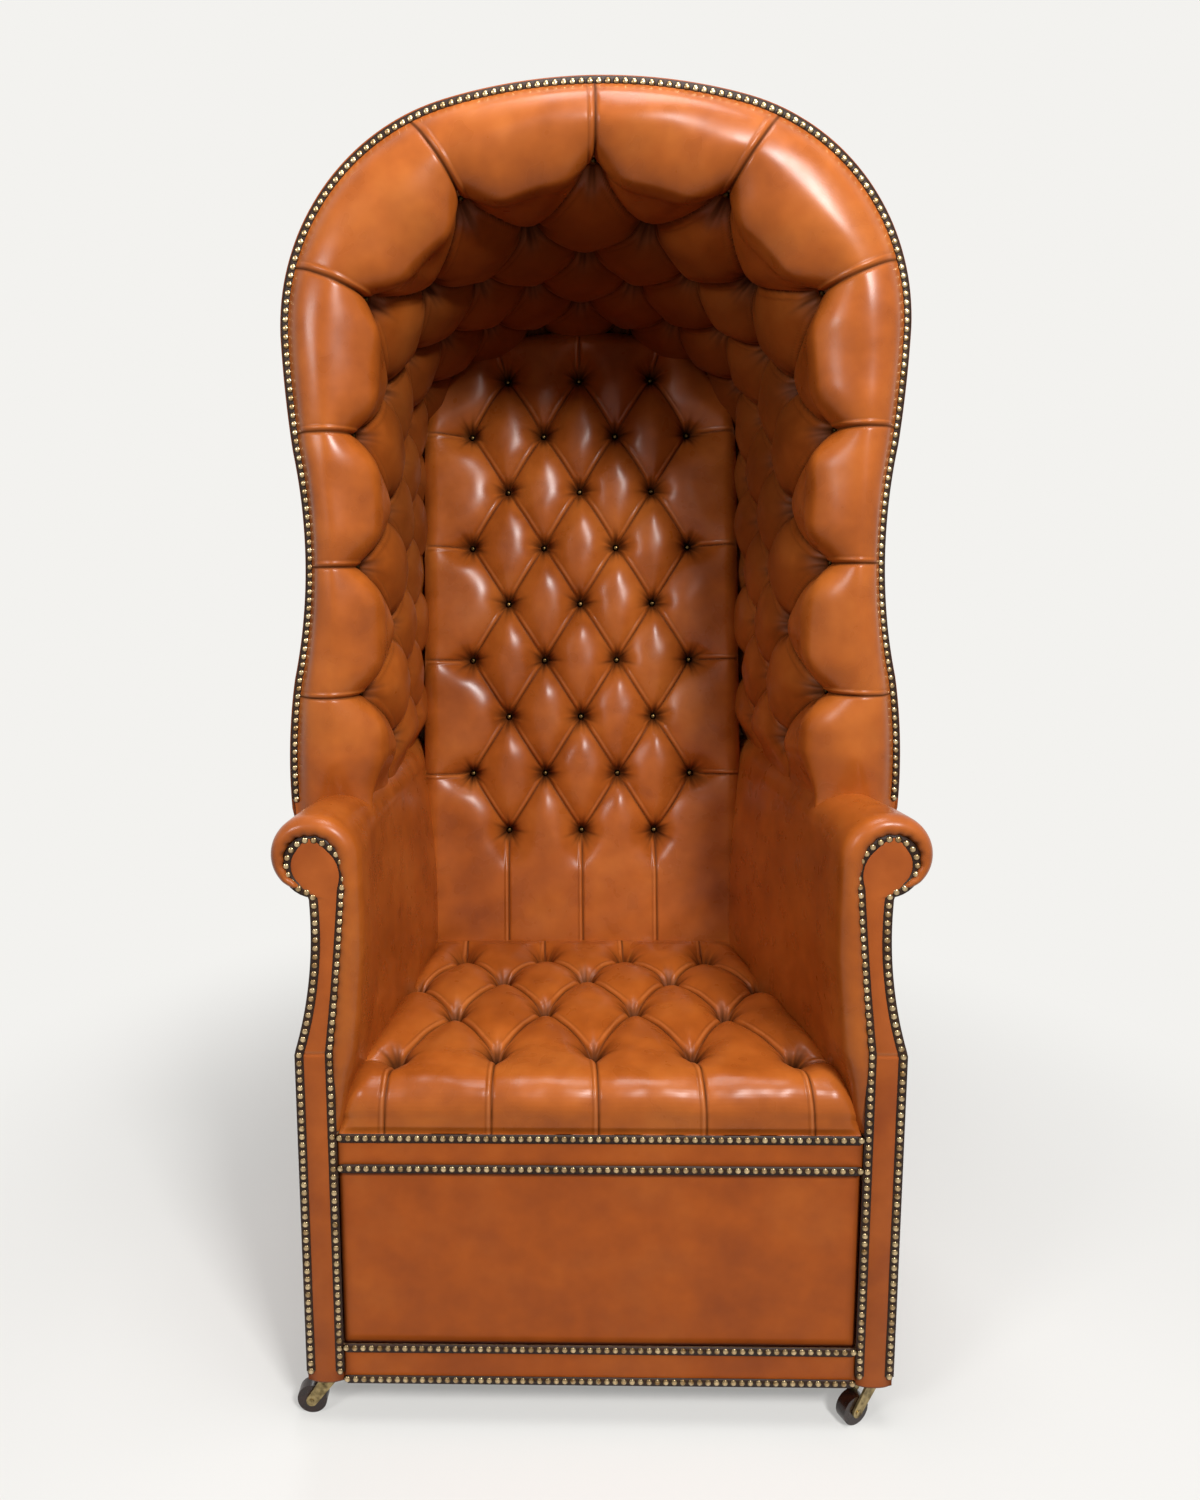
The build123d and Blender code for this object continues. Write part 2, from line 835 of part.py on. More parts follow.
# Timber frame: posts and rails
casters = {
    "front_left": (-base_half_width + facing_width / 2, front + leather + clearance + post_depth / 2),
    "front_right": (base_half_width - facing_width / 2, front + leather + clearance + post_depth / 2),
    "rear_left": (-rear_post_inner_x - rear_post_width / 2, (rear_post_front + back_y) / 2),
    "rear_right": (rear_post_inner_x + rear_post_width / 2, (rear_post_front + back_y) / 2),
}
stem_bore = stem_radius + running_fit

for name, solid in (("front_post", front_post(0)), ("rear_post", rear_post(0))):
    x, y = casters["front_right" if name == "front_post" else "rear_right"]
    with BuildPart() as post:
        add(solid)
        with BuildSketch(Plane.XY.offset(caster_height)):
            with Locations((x, y)):
                Circle(stem_bore)
        extrude(amount=stem_length, mode=Mode.SUBTRACT)
    save_pair(post.part, name)

for name, low, high in (
    ("seat_rail", seat_rail_low, seat_rail_top),
    ("plinth_rail", caster_height, plinth_top),
):
    front_half = inner_facing_x + post_inset - clearance
    back_half = rear_post_inner_x - clearance
    y1 = rail_front + rail_thickness
    save(box(-front_half, front_half, rail_front, y1, low, high), f"{name}_front")
    y0 = rail_back - rail_thickness
    save(box(-back_half, back_half, y0, rail_back, low, high), f"{name}_rear")
    y1 = rear_post_front - clearance
    save_pair(side_strip(side_inset, rail_thickness, post_back, y1, low, high), name)

# Round rail inside each arm scroll
def arm_rail(radius, y1):
    """Dowel along the tapering scroll of the right arm, from the front post back."""
    with BuildPart() as body:
        for y in (post_back, y1):
            shift = (base_half_width - outer_x(back_limit)) * (y - front) / overall_depth
            with BuildSketch(front_plane(y)):
                with Locations((scroll_x - shift, scroll_z)):
                    Circle(radius)
        loft()
    return body.part


save_pair(arm_rail(arm_rail_radius, rear_post_front - clearance), "arm_rail")

# Hood bows and roof slats
hood_core = hood_volume(hood_skin + clearance)
above = box(
    -hood_low_x - overrun, hood_low_x + overrun, front, back_limit, hood_bottom_z, hood_top_z + overrun
)
with BuildPart() as hood_bow_front:
    add(hood_core)
    y0 = front + hood_setback
    add(box(-hood_low_x, hood_low_x, y0, y0 + bow_depth, arch_foot_z, hood_top_z), mode=Mode.INTERSECT)
    add(arch_prism(-lining_backing - clearance, 0), mode=Mode.SUBTRACT)
    add(arm_pair.part, mode=Mode.SUBTRACT)
save(hood_bow_front.part, "hood_bow_front")

with BuildPart() as hood_bow_rear:
    add(hood_core)
    z0 = rear_post_top + clearance
    add(box(-hood_low_x, hood_low_x, front, back_limit, z0, hood_top_z), mode=Mode.INTERSECT)
    add(behind_cushion(clearance), mode=Mode.INTERSECT)
    add(behind, mode=Mode.SUBTRACT)
save(hood_bow_rear.part, "hood_bow_rear")

with BuildPart() as hood_slats:
    y0 = front + hood_setback + bow_depth + clearance
    for index in range(slat_count):
        x = (index - (slat_count - 1) / 2) * slat_pitch
        half = slat_width / 2
        add(box(x - half, x + half, y0, back_limit, rear_post_top, hood_top_z))
    add(hood_core, mode=Mode.INTERSECT)
    add(hood_volume(hood_skin + clearance + slat_thickness), mode=Mode.SUBTRACT)
    add(behind_cushion(0), mode=Mode.SUBTRACT)
save(hood_slats.part, "hood_slats")

# Ladder frame behind the back cushion
with BuildPart() as back_frame:
    half = rear_post_inner_x - clearance
    height = (rear_post_top - cushion_z) / math.cos(math.radians(cushion_rake)) - clearance
    with BuildSketch(cushion_plane().offset(-clearance)):
        with Locations((0, height / 2)):
            Rectangle(2 * half, height)
        gap = (height - 3 * back_stile) / 2
        with Locations((0, back_stile + gap / 2), (0, 2 * back_stile + 1.5 * gap)):
            Rectangle(2 * (half - back_stile), gap, mode=Mode.SUBTRACT)
    extrude(amount=-back_frame_thickness)
save(back_frame.part, "back_frame")

# Glued blocks in the corners of the seat frame
block_top = seat_rail_top - strap_thickness - clearance
with BuildPart() as corner_blocks:
    y0 = rail_front + rail_thickness + clearance
    x0 = outer_x(y0) - side_inset - rail_thickness - clearance
    y1 = rail_back - rail_thickness - clearance
    x1 = rear_post_inner_x - clearance
    for side in (-1, 1):
        for x, y, way in ((x0, y0, 1), (x1, y1, -1)):
            corner = (side * x, y)
            points = [corner, (side * (x - block_leg), y), (side * x, y + way * block_leg)]
            if way > 0:
                lean = base_taper * block_leg / (back_y - front)
                points[2] = (side * (x - lean), y + block_leg)
            add(slab(points, Plane.XY.offset(block_top - block_height), block_height))
save(corner_blocks.part, "corner_blocks")

# Webbing: straps over the rails and straps between the side rails
with BuildPart() as seat_webbing:
    for index in range(strap_count):
        x = (index - (strap_count - 1) / 2) * strap_pitch
        z0 = seat_rail_top + clearance
        add(box(x - strap_width / 2, x + strap_width / 2, rail_front, rail_back, z0, z0 + strap_thickness))
    for index in range(strap_count - 1):
        y = rail_front + strap_pitch * (index + 1)
        x = outer_x(y + strap_width / 2) - side_inset - rail_thickness - clearance
        z1 = seat_rail_top
        add(box(-x, x, y - strap_width / 2, y + strap_width / 2, z1 - strap_thickness, z1))
save(seat_webbing.part, "seat_webbing")

with BuildPart() as bottom_cover:
    y0 = rail_front + rail_thickness + clearance
    y1 = rear_post_front - clearance
    y2 = rail_back - rail_thickness - clearance
    inset = side_inset + rail_thickness + clearance
    x2 = rear_post_inner_x - clearance
    half = [(outer_x(y0) - inset, y0), (outer_x(y1) - inset, y1), (x2, y1), (x2, y2)]
    with BuildSketch(Plane.XY.offset(caster_height + cover_thickness)):
        with BuildLine():
            Polyline(*half, *[(-x, y) for x, y in reversed(half)], close=True)
        make_face()
    extrude(amount=cover_thickness)
save(bottom_cover.part, "bottom_cover")

# Seat cushion: tufted top, rolled nose and pleats down the front
seat_plane = Plane(origin=(0, front, seat_crease_z), x_dir=(1, 0, 0), z_dir=(0, 0, 1))
seat_end = seat_front_gap + seat_length


def seat_half(y):
    """Half-width of the seat cushion at a distance from the front."""
    return seat_half_front - (seat_half_front - seat_half_back) * (y - seat_front_gap) / seat_length


seat_buttons_at = seat_rows()
with BuildPart() as seat_core:
    with BuildSketch(Plane(origin=(0, front, seat_bottom))):
        with BuildLine():
            Polyline(
                (-seat_half_front, seat_front_gap),
                (seat_half_front, seat_front_gap),
                (seat_half_back, seat_end),
                (-seat_half_back, seat_end),
                close=True,
            )
        make_face()
    extrude(amount=seat_crease_z - seat_bottom)

with BuildPart() as seat_nose:
    top = seat_crease_z + pillow_height
    y0 = front + seat_front_gap
    turn = seat_nose_radius * math.sqrt(0.5)
    with BuildSketch(side_plane(-base_half_width)):
        with BuildLine():
            ThreePointArc(
                (y0, top - seat_nose_radius),
                (y0 + seat_nose_radius - turn, top - seat_nose_radius + turn),
                (y0 + seat_nose_radius, top),
            )
            Polyline(
                (y0 + seat_nose_radius, top),
                (back_limit, top),
                (back_limit, seat_bottom),
                (y0, seat_bottom),
                (y0, top - seat_nose_radius),
            )
        make_face()
    extrude(amount=2 * base_half_width)

seat_cells = tuft_cells(seat_buttons_at, seat_front_gap, seat_end, seat_half)
seat_dimples = [dimple(x, y, seat_plane) for y, xs in seat_buttons_at for x in xs]
seat_field = tufted(seat_core.part, [pillow(c, seat_plane) for c in seat_cells], seat_dimples)
with BuildPart() as seat_cushion:
    add(seat_field)
    add(seat_nose.part, mode=Mode.INTERSECT)
    for x in seat_buttons_at[0][1]:
        y0 = front + seat_front_gap
        points = [(x - pleat_width / 2, y0), (x + pleat_width / 2, y0), (x, y0 + pleat_depth)]
        pleat = slab(points, Plane.XY.offset(seat_bottom), seat_crease_z + pillow_height - seat_bottom)
        add(pleat, mode=Mode.SUBTRACT)
save(seat_cushion.part, "seat_cushion")

with BuildPart() as seat_buttons:
    for y, xs in seat_buttons_at:
        for x in xs:
            add(stud(x, y, seat_plane))
save(seat_buttons.part, "seat_buttons")

# Back cushion in its raked plane, trimmed to the arch of the lining
back_base = cushion_plane()
back_field = back_base.offset(cushion_core)
back_buttons_at = back_rows()
with BuildPart() as back_core:
    with BuildSketch(back_base):
        with Locations((0, cushion_length / 2)):
            Rectangle(2 * cushion_half_width, cushion_length)
    extrude(amount=cushion_core)

back_cells = tuft_cells(back_buttons_at, 0, cushion_length, lambda y: cushion_half_width)
back_dimples = [dimple(x, y, back_field) for y, xs in back_buttons_at for x in xs]
cushion_top = cushion_y + cushion_length * math.sin(math.radians(cushion_rake))
cushion_drop = arch_slope_share * (cushion_top - front - ring_start)
with BuildPart() as arch_space:
    half = cushion_half_width + overrun
    add(arch_prism(tuft_depth + lining_gap, cushion_drop))
    add(box(-half, half, front, back_limit, cushion_z - overrun, arch_foot_z + overrun))

with BuildPart() as back_cushion:
    add(tufted(back_core.part, [pillow(c, back_field) for c in back_cells], back_dimples))
    add(arch_space.part, mode=Mode.INTERSECT)
save(back_cushion.part, "back_cushion")

with BuildPart() as back_buttons:
    for y, xs in back_buttons_at:
        for x in xs:
            add(stud(x, y, back_field))
save(back_buttons.part, "back_buttons")

# Hood lining: rings of buttons with stuffing between them, in three pieces
with BuildPart() as lining:
    add(lining_volume())
    add(behind_cushion(0), mode=Mode.SUBTRACT)
    add(arm_pair.part, mode=Mode.SUBTRACT)

wall_top = arch_foot_z + (arch_spring_z - arch_foot_z) * lining_split_share
half = hood_low_x
for name, space in (
    ("hood_lining_left", (-half, 0, front, back_limit, arch_foot_z - overrun, wall_top)),
    ("hood_lining_right", (0, half, front, back_limit, arch_foot_z - overrun, wall_top)),
    ("hood_lining_roof", (-half, half, front, back_limit, wall_top, hood_top_z)),
):
    with BuildPart() as panel:
        add(lining.part)
        add(box(*space), mode=Mode.INTERSECT)
    save(panel.part, name)

# Rolled front edge of the hood, stuffed between its pleats
with BuildSketch() as hood_sketch:
    with BuildLine():
        add(hood_outline(1.0, 1.0, 0))
    make_face()

hood_face = hood_sketch.sketch.faces()[0]
roll_segments = [roll_segment(hood_face, step) for step in range(0, 2 * arch_steps, 2)]
with BuildPart() as bow_space:
    add(box(-hood_low_x, hood_low_x, front + hood_setback - clearance, back_limit, arch_foot_z, hood_top_z))
    add(arch_prism(-lining_backing, 0), mode=Mode.SUBTRACT)

with BuildPart() as hood_edge_roll:
    add(roll_segments)
    add(bow_space.part, mode=Mode.SUBTRACT)
    add(arm_pair.part, mode=Mode.SUBTRACT)
save(hood_edge_roll.part, "hood_edge_roll")

# Outer cover of the hood
with BuildPart() as hood_cover:
    add(hood_volume(0))
    add(hood_volume(hood_skin), mode=Mode.SUBTRACT)
    add(above, mode=Mode.INTERSECT)
    add(behind, mode=Mode.SUBTRACT)
    add(arm_pair.part, mode=Mode.SUBTRACT)
save(hood_cover.part, "hood_cover")

# Upholstered back of the chair: upright below, raked and shaped to the hood above
with BuildPart() as back_sheet:
    add(behind_back(0))
    add(behind_back(-back_panel_thickness), mode=Mode.SUBTRACT)

with BuildPart() as back_shape:
    add(hood_volume(0))
    add(above, mode=Mode.INTERSECT)
    half = outer_x(back_y)
    add(box(-half, half, front, back_limit, caster_height, hood_bottom_z))

with BuildPart() as outside_back:
    add(back_sheet.part)
    add(back_shape.part, mode=Mode.INTERSECT)
save(outside_back.part, "outside_back")

# Arms: stuffed pads round the posts and rails, with flat facings, cut round the back cushion
with BuildPart() as back_space:
    for plane, width, depth in (
        (back_base, cushion_half_width, cushion_core + pillow_height),
        (back_base, rear_post_inner_x - clearance, -back_frame_thickness - clearance),
    ):
        with BuildSketch(plane):
            with Locations((0, cushion_length / 2)):
                Rectangle(2 * (width + clearance), cushion_length + 2 * clearance)
        extrude(amount=depth + math.copysign(clearance, depth))
with BuildPart() as arm_pad:
    add(arm_volume(True, 0))
    add(facing_solid(clearance, front - overrun, front + leather + clearance), mode=Mode.SUBTRACT)
    add(front_post(clearance), mode=Mode.SUBTRACT)
    add(rear_post(clearance), mode=Mode.SUBTRACT)
    add(arm_rail(arm_rail_radius + clearance, rear_post_front), mode=Mode.SUBTRACT)
    add(back_space.part, mode=Mode.SUBTRACT)
    add(behind, mode=Mode.SUBTRACT)
save_pair(arm_pad.part, "arm_pad")
save_pair(facing_solid(0, front, front + leather), "arm_facing")
save_pair(
    side_strip(0, side_panel_thickness, front + leather + clearance, rail_back, caster_height, facing_kink_z),
    "side_panel",
)

# Front of the base: border strip, sunk field and plinth strip
half = inner_facing_x - clearance
y1 = rail_front - clearance
field_low = plinth_top + clearance
field_top = seat_rail_top - border_height
save(box(-half, half, front, y1, field_top + clearance, seat_rail_top), "front_top_border")
save(box(-half, half, front + field_recess, y1, field_low, field_top), "front_panel")
save(box(-half, half, front, y1, caster_height, plinth_top), "front_plinth_border")

# Casters, each drawn about its swivel axis and turned to where it stands
cheek_inner = wheel_width / 2 + cheek_gap
cheek_outer = cheek_inner + cheek_thickness
crown_top = caster_height - plate_thickness - clearance
crown_low = crown_top - crown_thickness
axle_end = cheek_outer + axle_head

with BuildPart() as plate:
    with BuildSketch(Plane.XY.offset(caster_height - plate_thickness)):
        Rectangle(plate_side, plate_side)
        Circle(stem_bore, mode=Mode.SUBTRACT)
    extrude(amount=plate_thickness)

with BuildPart() as horn:
    with BuildSketch(Plane.XY.offset(crown_low)):
        Circle(crown_radius)
    extrude(amount=crown_thickness)
    with BuildSketch(Plane.XY.offset(crown_top)):
        Circle(stem_radius)
    extrude(amount=stem_length)
    with BuildSketch(Plane.XZ.offset(-cheek_outer)):
        with Locations((caster_offset, wheel_radius)):
            Circle(boss_radius)
        with Locations((0, crown_low + crown_thickness / 4)):
            Rectangle(2 * cheek_root, crown_thickness / 2)
        make_hull()
        with Locations((caster_offset, wheel_radius)):
            Circle(axle_radius + running_fit, mode=Mode.SUBTRACT)
    extrude(amount=2 * cheek_outer)
    with BuildSketch(Plane.XY):
        Rectangle(2 * (caster_offset + wheel_radius), 2 * cheek_inner)
    extrude(amount=crown_low, mode=Mode.SUBTRACT)

with BuildPart() as axle:
    with BuildSketch(Plane.XZ.offset(-axle_end)):
        with Locations((caster_offset, wheel_radius)):
            Circle(axle_radius)
    extrude(amount=2 * axle_end)

with BuildPart() as wheel:
    with BuildSketch(Plane.XZ.offset(-wheel_width / 2)):
        with Locations((caster_offset, wheel_radius)):
            Circle(wheel_radius)
            Circle(axle_radius + running_fit, mode=Mode.SUBTRACT)
    extrude(amount=wheel_width)

for corner, (x, y) in casters.items():
    angle = caster_turns[corner]
    for name, piece, turn in (
        ("caster_plate", plate, 0),
        ("caster_horn", horn, angle),
        ("caster_axle", axle, angle),
        ("caster_wheel", wheel, angle),
    ):
        with BuildPart() as placed:
            with Locations(Location((x, y, 0), (0, 0, turn))):
                add(piece.part)
        save(placed.part, f"{name}_{corner}")
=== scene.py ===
import logging
import math
from collections.abc import Callable, Iterable, Iterator, Sequence
from contextlib import contextmanager
from dataclasses import dataclass, field
from enum import Enum

import bmesh
import bpy
import numpy as np
from mathutils import Matrix, Vector

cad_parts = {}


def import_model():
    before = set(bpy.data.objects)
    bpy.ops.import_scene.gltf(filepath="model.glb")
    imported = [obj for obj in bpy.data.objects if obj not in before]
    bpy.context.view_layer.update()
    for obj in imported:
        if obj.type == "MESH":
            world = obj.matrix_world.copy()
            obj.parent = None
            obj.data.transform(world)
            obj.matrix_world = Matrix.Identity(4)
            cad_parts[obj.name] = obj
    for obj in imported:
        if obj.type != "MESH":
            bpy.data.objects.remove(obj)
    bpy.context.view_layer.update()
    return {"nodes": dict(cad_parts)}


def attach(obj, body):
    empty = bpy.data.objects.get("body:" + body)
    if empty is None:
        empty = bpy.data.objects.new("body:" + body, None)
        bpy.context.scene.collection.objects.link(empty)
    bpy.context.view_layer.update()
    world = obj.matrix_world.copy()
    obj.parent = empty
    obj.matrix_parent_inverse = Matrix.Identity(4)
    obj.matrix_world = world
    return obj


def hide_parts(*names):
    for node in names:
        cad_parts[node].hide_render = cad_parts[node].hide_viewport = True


log = logging.getLogger("hall_porter_chair")

Points = np.ndarray
Pair = tuple[float, float]
Triple = tuple[float, float, float]
Knots = tuple[Sequence[float], Sequence[float]]
Settle = Callable[[Points, Points], tuple[Points, Points]]
Socket = int | str
Link = tuple[bpy.types.Node, Socket]

MM = 0.001
WELD = 0.05
NAIL_PITCH = 10.5

# Sizes of the frame that the hides are stretched over, in millimetres, from the floor and the front
FRONT = -365.0
DEPTH = 730.0
BASE_BOTTOM = 60.0
HALF_WIDTH = 365.0
BASE_TAPER = 37.0
BASE_DEPTH = 599.0
SEAT_RAIL_TOP = 392.0
FIELD_TOP = 350.5
PLINTH_TOP = 108.0
KINK = 497.0
FACING_WIDTH = 46.0
BACK_BEND = 450.0
BACK_LEAN = math.tan(math.radians(6.45))
CUSHION_LEAN = math.radians(9.05)


def linear(code: str) -> tuple[float, float, float, float]:
    """Turn an sRGB hex colour into the linear colour that shaders use.

    Args:
        code: Six hex digits after a hash sign.

    Returns:
        Red, green, blue and an alpha of one.
    """
    levels = [int(code[place:place + 2], 16) / 255 for place in (1, 3, 5)]
    return (*[v / 12.92 if v <= 0.04045 else ((v + 0.055) / 1.055) ** 2.4 for v in levels], 1.0)


def per_mm(size: float) -> float:
    """Texture scale at which one feature of a pattern measures a size in millimetres."""
    return 1 / (size * MM)


def smooth(values: Points) -> Points:
    """Ease values from zero to one with level ends."""
    held = np.clip(values, 0.0, 1.0)
    return held * held * (3 - 2 * held)


def bell(distance: Points, width: float | Points, power: float = 2.0) -> Points:
    """Fall from one on a line to nothing a few widths away."""
    return np.exp(-((distance / width) ** power))


def joined(*parts: Points) -> Points:
    """Put coordinates side by side as points."""
    return np.stack(parts, axis=-1)


def unit(ways: Points) -> Points:
    """Bring vectors to a length of one."""
    return ways / (np.linalg.norm(ways, axis=-1, keepdims=True) + 1e-9)


def arc(start: Pair, middle: Pair, end: Pair, count: int) -> Points:
    """Points along the circle through three points.

    Args:
        start: First end.
        middle: A point on the way.
        end: Last end.
        count: Number of steps.

    Returns:
        An array of count + 1 points.
    """
    first, through, last = complex(*start), complex(*middle), complex(*end)
    ratio = (last - first) / (through - first)
    if abs(ratio.imag) < 1e-6:
        return np.linspace(start, end, count + 1)
    centre = first - (first - through) * (ratio - abs(ratio) ** 2) / 2j / ratio.imag
    turns = [math.atan2((p - centre).imag, (p - centre).real) for p in (first, through, last)]
    whole = 2 * math.pi
    sweep = (turns[2] - turns[0]) % whole
    if (turns[1] - turns[0]) % whole > sweep:
        sweep -= whole
    angles = turns[0] + sweep * np.linspace(0, 1, count + 1)
    radius = abs(first - centre)
    return joined(centre.real + radius * np.cos(angles), centre.imag + radius * np.sin(angles))


def chain(*runs: Points) -> Points:
    """Join runs of points end to end, with each shared point kept once."""
    return np.concatenate([runs[0], *[run[1:] for run in runs[1:]]])


def lengths(path: Points) -> Points:
    """Distance along a path at each of its points."""
    steps = np.linalg.norm(np.diff(path, axis=0), axis=1)
    return np.concatenate([[0.0], np.cumsum(steps)])


def spread(shares: Points, run: Points, values: Points) -> Points:
    """Values at shares of a run on which they are known at given distances."""
    return joined(*[np.interp(shares * run[-1], run, part) for part in values.T])


def along(path: Points, shares: Points) -> Points:
    """Points at shares of the length of a path."""
    return spread(shares, lengths(path), path)


def inset(path: Points, amount: float) -> Points:
    """Move an open plane path to its left by an amount."""
    ways = unit(np.gradient(path, axis=0))
    return path + amount * joined(-ways[:, 1], ways[:, 0])


def back_line(z: Points, gap: float = 0.0) -> Points:
    """Place on the y axis of the inner face of the outside back at a height."""
    return FRONT + BASE_DEPTH + np.maximum(z - BACK_BEND, 0) * BACK_LEAN - gap


def outer_half(y: float | Points) -> float | Points:
    """Half-width of the tapered base at a place on the y axis."""
    return HALF_WIDTH - BASE_TAPER * (y - FRONT) / BASE_DEPTH


def unevenness(x: Points, y: Points, seed: int, size: float) -> Points:
    """Smooth irregular waves between minus one and one.

    Args:
        x: First coordinate in millimetres.
        y: Second coordinate in millimetres.
        seed: Number that fixes the pattern.
        size: Typical distance between two waves in millimetres.

    Returns:
        The waves at each point.
    """
    chance = np.random.default_rng(seed)
    total = np.zeros_like(x)
    waves, whole = 7, 2 * math.pi
    for _ in range(waves):
        angle, phase = chance.uniform(0, math.pi), chance.uniform(0, whole)
        stretch = chance.uniform(0.7, 1.6)
        way = x * math.cos(angle) + y * math.sin(angle)
        total += np.sin(way * whole / (size * stretch) + phase)
    return total / math.sqrt(waves * 2)


@dataclass(frozen=True)
class Pleat:
    """One crease between two buttons, or from a button to an edge, in millimetres on flat hide."""

    start: Pair
    end: Pair
    tied: bool = True
    fold: float = 1.0
    rise: float = 0.92


def staggered(count: int, column: float) -> list[float]:
    """Places of a row of buttons, evenly about the middle, two columns apart."""
    return [(2 * number - count + 1) * column for number in range(count)]


def diamonds(rows: Sequence[Sequence[Pair]], column: float) -> list[Pleat]:
    """Pleats from each button to its two neighbours in the next row.

    Args:
        rows: Rows of buttons, each as (x, distance along the hide).
        column: Half the distance between two buttons of a row.

    Returns:
        The pleats, with their folds on the side of the next row.
    """
    return [
        Pleat(a, b, fold=math.copysign(1, b[0] - a[0]))
        for low, high in zip(rows, rows[1:])
        for a in low
        for b in high
        if abs(a[0] - b[0]) < 1.1 * column
    ]


@dataclass
class Tufting:
    """How a stuffed hide is drawn down at its buttons and folded between them.

    Widths and reaches are in millimetres. Heights and depths are shares of the stuffing's depth.
    """

    buttons: Sequence[Pair]
    pleats: Sequence[Pleat]
    reach: float = 50.0
    tied_rise: float = 0.6
    loose_reach: float = 70.0
    groove: float = 0.07
    groove_width: float = 1.7
    fold: float = 0.05
    fold_width: float = 6.5
    seam_width: float = 1.6
    dip: float = 0.34
    dip_radius: float = 9.5
    wrinkle: float = 0.03
    wrinkle_radius: float = 15.0
    # Painted shade with wax and dust in the dips, painted highlight with wear on the folds, and
    # width of the painted shade line along a crease
    dip_shade_and_dirt: float = 1.0
    highlight_and_wear: float = 0.28
    line_width: float = 1.6
    softness: float = 5.0
    seed: int = 1
    chunk: int = 16000

    def relief(self, x: Points, y: Points) -> tuple[Points, Points]:
        """Height and darkening of the hide at points on it.

        Args:
            x: First coordinates in millimetres.
            y: Second coordinates in millimetres.

        Returns:
            Heights, and the tone: up to one for painted shade with wax and dust in dips and
                creases, below nought for a painted highlight on a worn fold.
        """
        batches = [slice(low, low + self.chunk) for low in range(0, len(x), self.chunk)]
        parts = [self._relief(x[batch], y[batch]) for batch in batches]
        heights, tones = zip(*parts)
        return np.concatenate(heights), np.concatenate(tones)

    def _relief(self, x: Points, y: Points) -> tuple[Points, Points]:
        """Height and tone for one batch of points.

        Args:
            x: First coordinates in millimetres.
            y: Second coordinates in millimetres.

        Returns:
            Heights and tones.
        """
        starts = np.array([p.start for p in self.pleats])
        ways = np.array([p.end for p in self.pleats]) - starts
        tied = np.array([p.tied for p in self.pleats])
        folds = np.array([p.fold for p in self.pleats])
        rises = np.array([p.rise for p in self.pleats])
        spans = np.linalg.norm(ways, axis=1)
        rows = np.arange(len(x))

        # Where each point lies beside each pleat, and how high the creases near it run
        dx, dy = x[:, None] - starts[:, 0], y[:, None] - starts[:, 1]
        share = np.clip((dx * ways[:, 0] + dy * ways[:, 1]) / spans**2, 0, 1)
        far = np.hypot(dx - share * ways[:, 0], dy - share * ways[:, 1])
        bound = self.tied_rise * np.sin(math.pi * share) ** 0.8
        rise = np.where(tied, bound, rises * smooth(share * spans / self.loose_reach))
        closest = far.min(axis=1)
        weight = np.exp(-(far - closest[:, None]) / self.softness)
        total = weight.sum(axis=1)
        nearest = np.maximum(closest - self.softness * np.log(total), 0)
        edge = (weight * rise).sum(axis=1) / total
        height = edge + (1 - edge) * (1 - (1 - np.minimum(nearest / self.reach, 1)) ** 2.3)

        # The nearest pleat: a groove along its crease and a flat fold of hide on one side
        index = far.argmin(axis=1)
        way, place = ways[index], share[rows, index]
        side = way[:, 0] * dy[rows, index] - way[:, 1] * dx[rows, index]
        side = side / spans[index] * folds[index]
        eased = smooth(place * spans[index] / 25)
        middle = np.where(tied[index], np.sin(math.pi * place) ** 0.6, eased)
        shown = middle * ((place > 0) & (place < 1))
        rising, falling = (side + 0.9) / 1.8, (side - self.fold_width + 1.4) / 2.8
        band = (smooth(rising) - smooth(falling)) * shown
        seam = bell(side - self.fold_width, self.seam_width) * shown
        height += self.fold * band
        height -= self.groove * (bell(closest, self.groove_width) + 0.25 * seam)

        # The nearest button: a dip with wrinkles like rays round it
        marks = np.array(self.buttons)
        bx, by = x[:, None] - marks[:, 0], y[:, None] - marks[:, 1]
        apart = np.hypot(bx, by)
        button = apart.argmin(axis=1)
        radius = apart[rows, button]
        angle = np.arctan2(by[rows, button], bx[rows, button])
        rays = sum(
            size * np.cos(count * angle + button * turn)
            for size, count, turn in ((0.5, 7, 1.7), (0.35, 12, 2.9), (0.25, 19, 4.1))
        )
        height -= self.dip * bell(radius, self.dip_radius)
        height -= self.wrinkle * rays * bell(radius - self.wrinkle_radius, 9)
        height += 0.03 * unevenness(x, y, self.seed, 75)

        # Painted shade with wax and dust in the dips and along the creases, and a painted highlight
        # on the worn fold beside each crease
        star = self.dip_radius * (1.6 + 0.55 * np.clip(rays, -1, 1))
        dark = self.dip_shade_and_dirt * bell(radius, star, 2.2)
        line = 0.95 * (0.5 + 0.5 * middle) * bell(closest, self.line_width) + 0.35 * seam
        tone = np.maximum(dark, line) - self.highlight_and_wear * band * (1 - dark)
        return height, np.clip(tone, -1, 1)


def add_piece(name: str, shape: bmesh.types.BMesh) -> bpy.types.Object:
    """Turn a shape into a piece, linked to the scene, and let the shape go.

    Args:
        name: Name of the piece.
        shape: Its shape, freed here.

    Returns:
        The new piece.
    """
    mesh = bpy.data.meshes.new(name)
    shape.to_mesh(mesh)
    shape.free()
    piece = bpy.data.objects.new(name, mesh)
    bpy.context.scene.collection.objects.link(piece)
    return piece


def store_tone(mesh: bpy.types.Mesh, tone: Sequence[float]) -> None:
    """Keep the painted shade of each point, with its wax and dust, and below nought its painted
    highlight, where the shaders find it.
    """
    mesh.attributes.new("painted_light_and_dirt", "FLOAT", "POINT").data.foreach_set("value", tone)


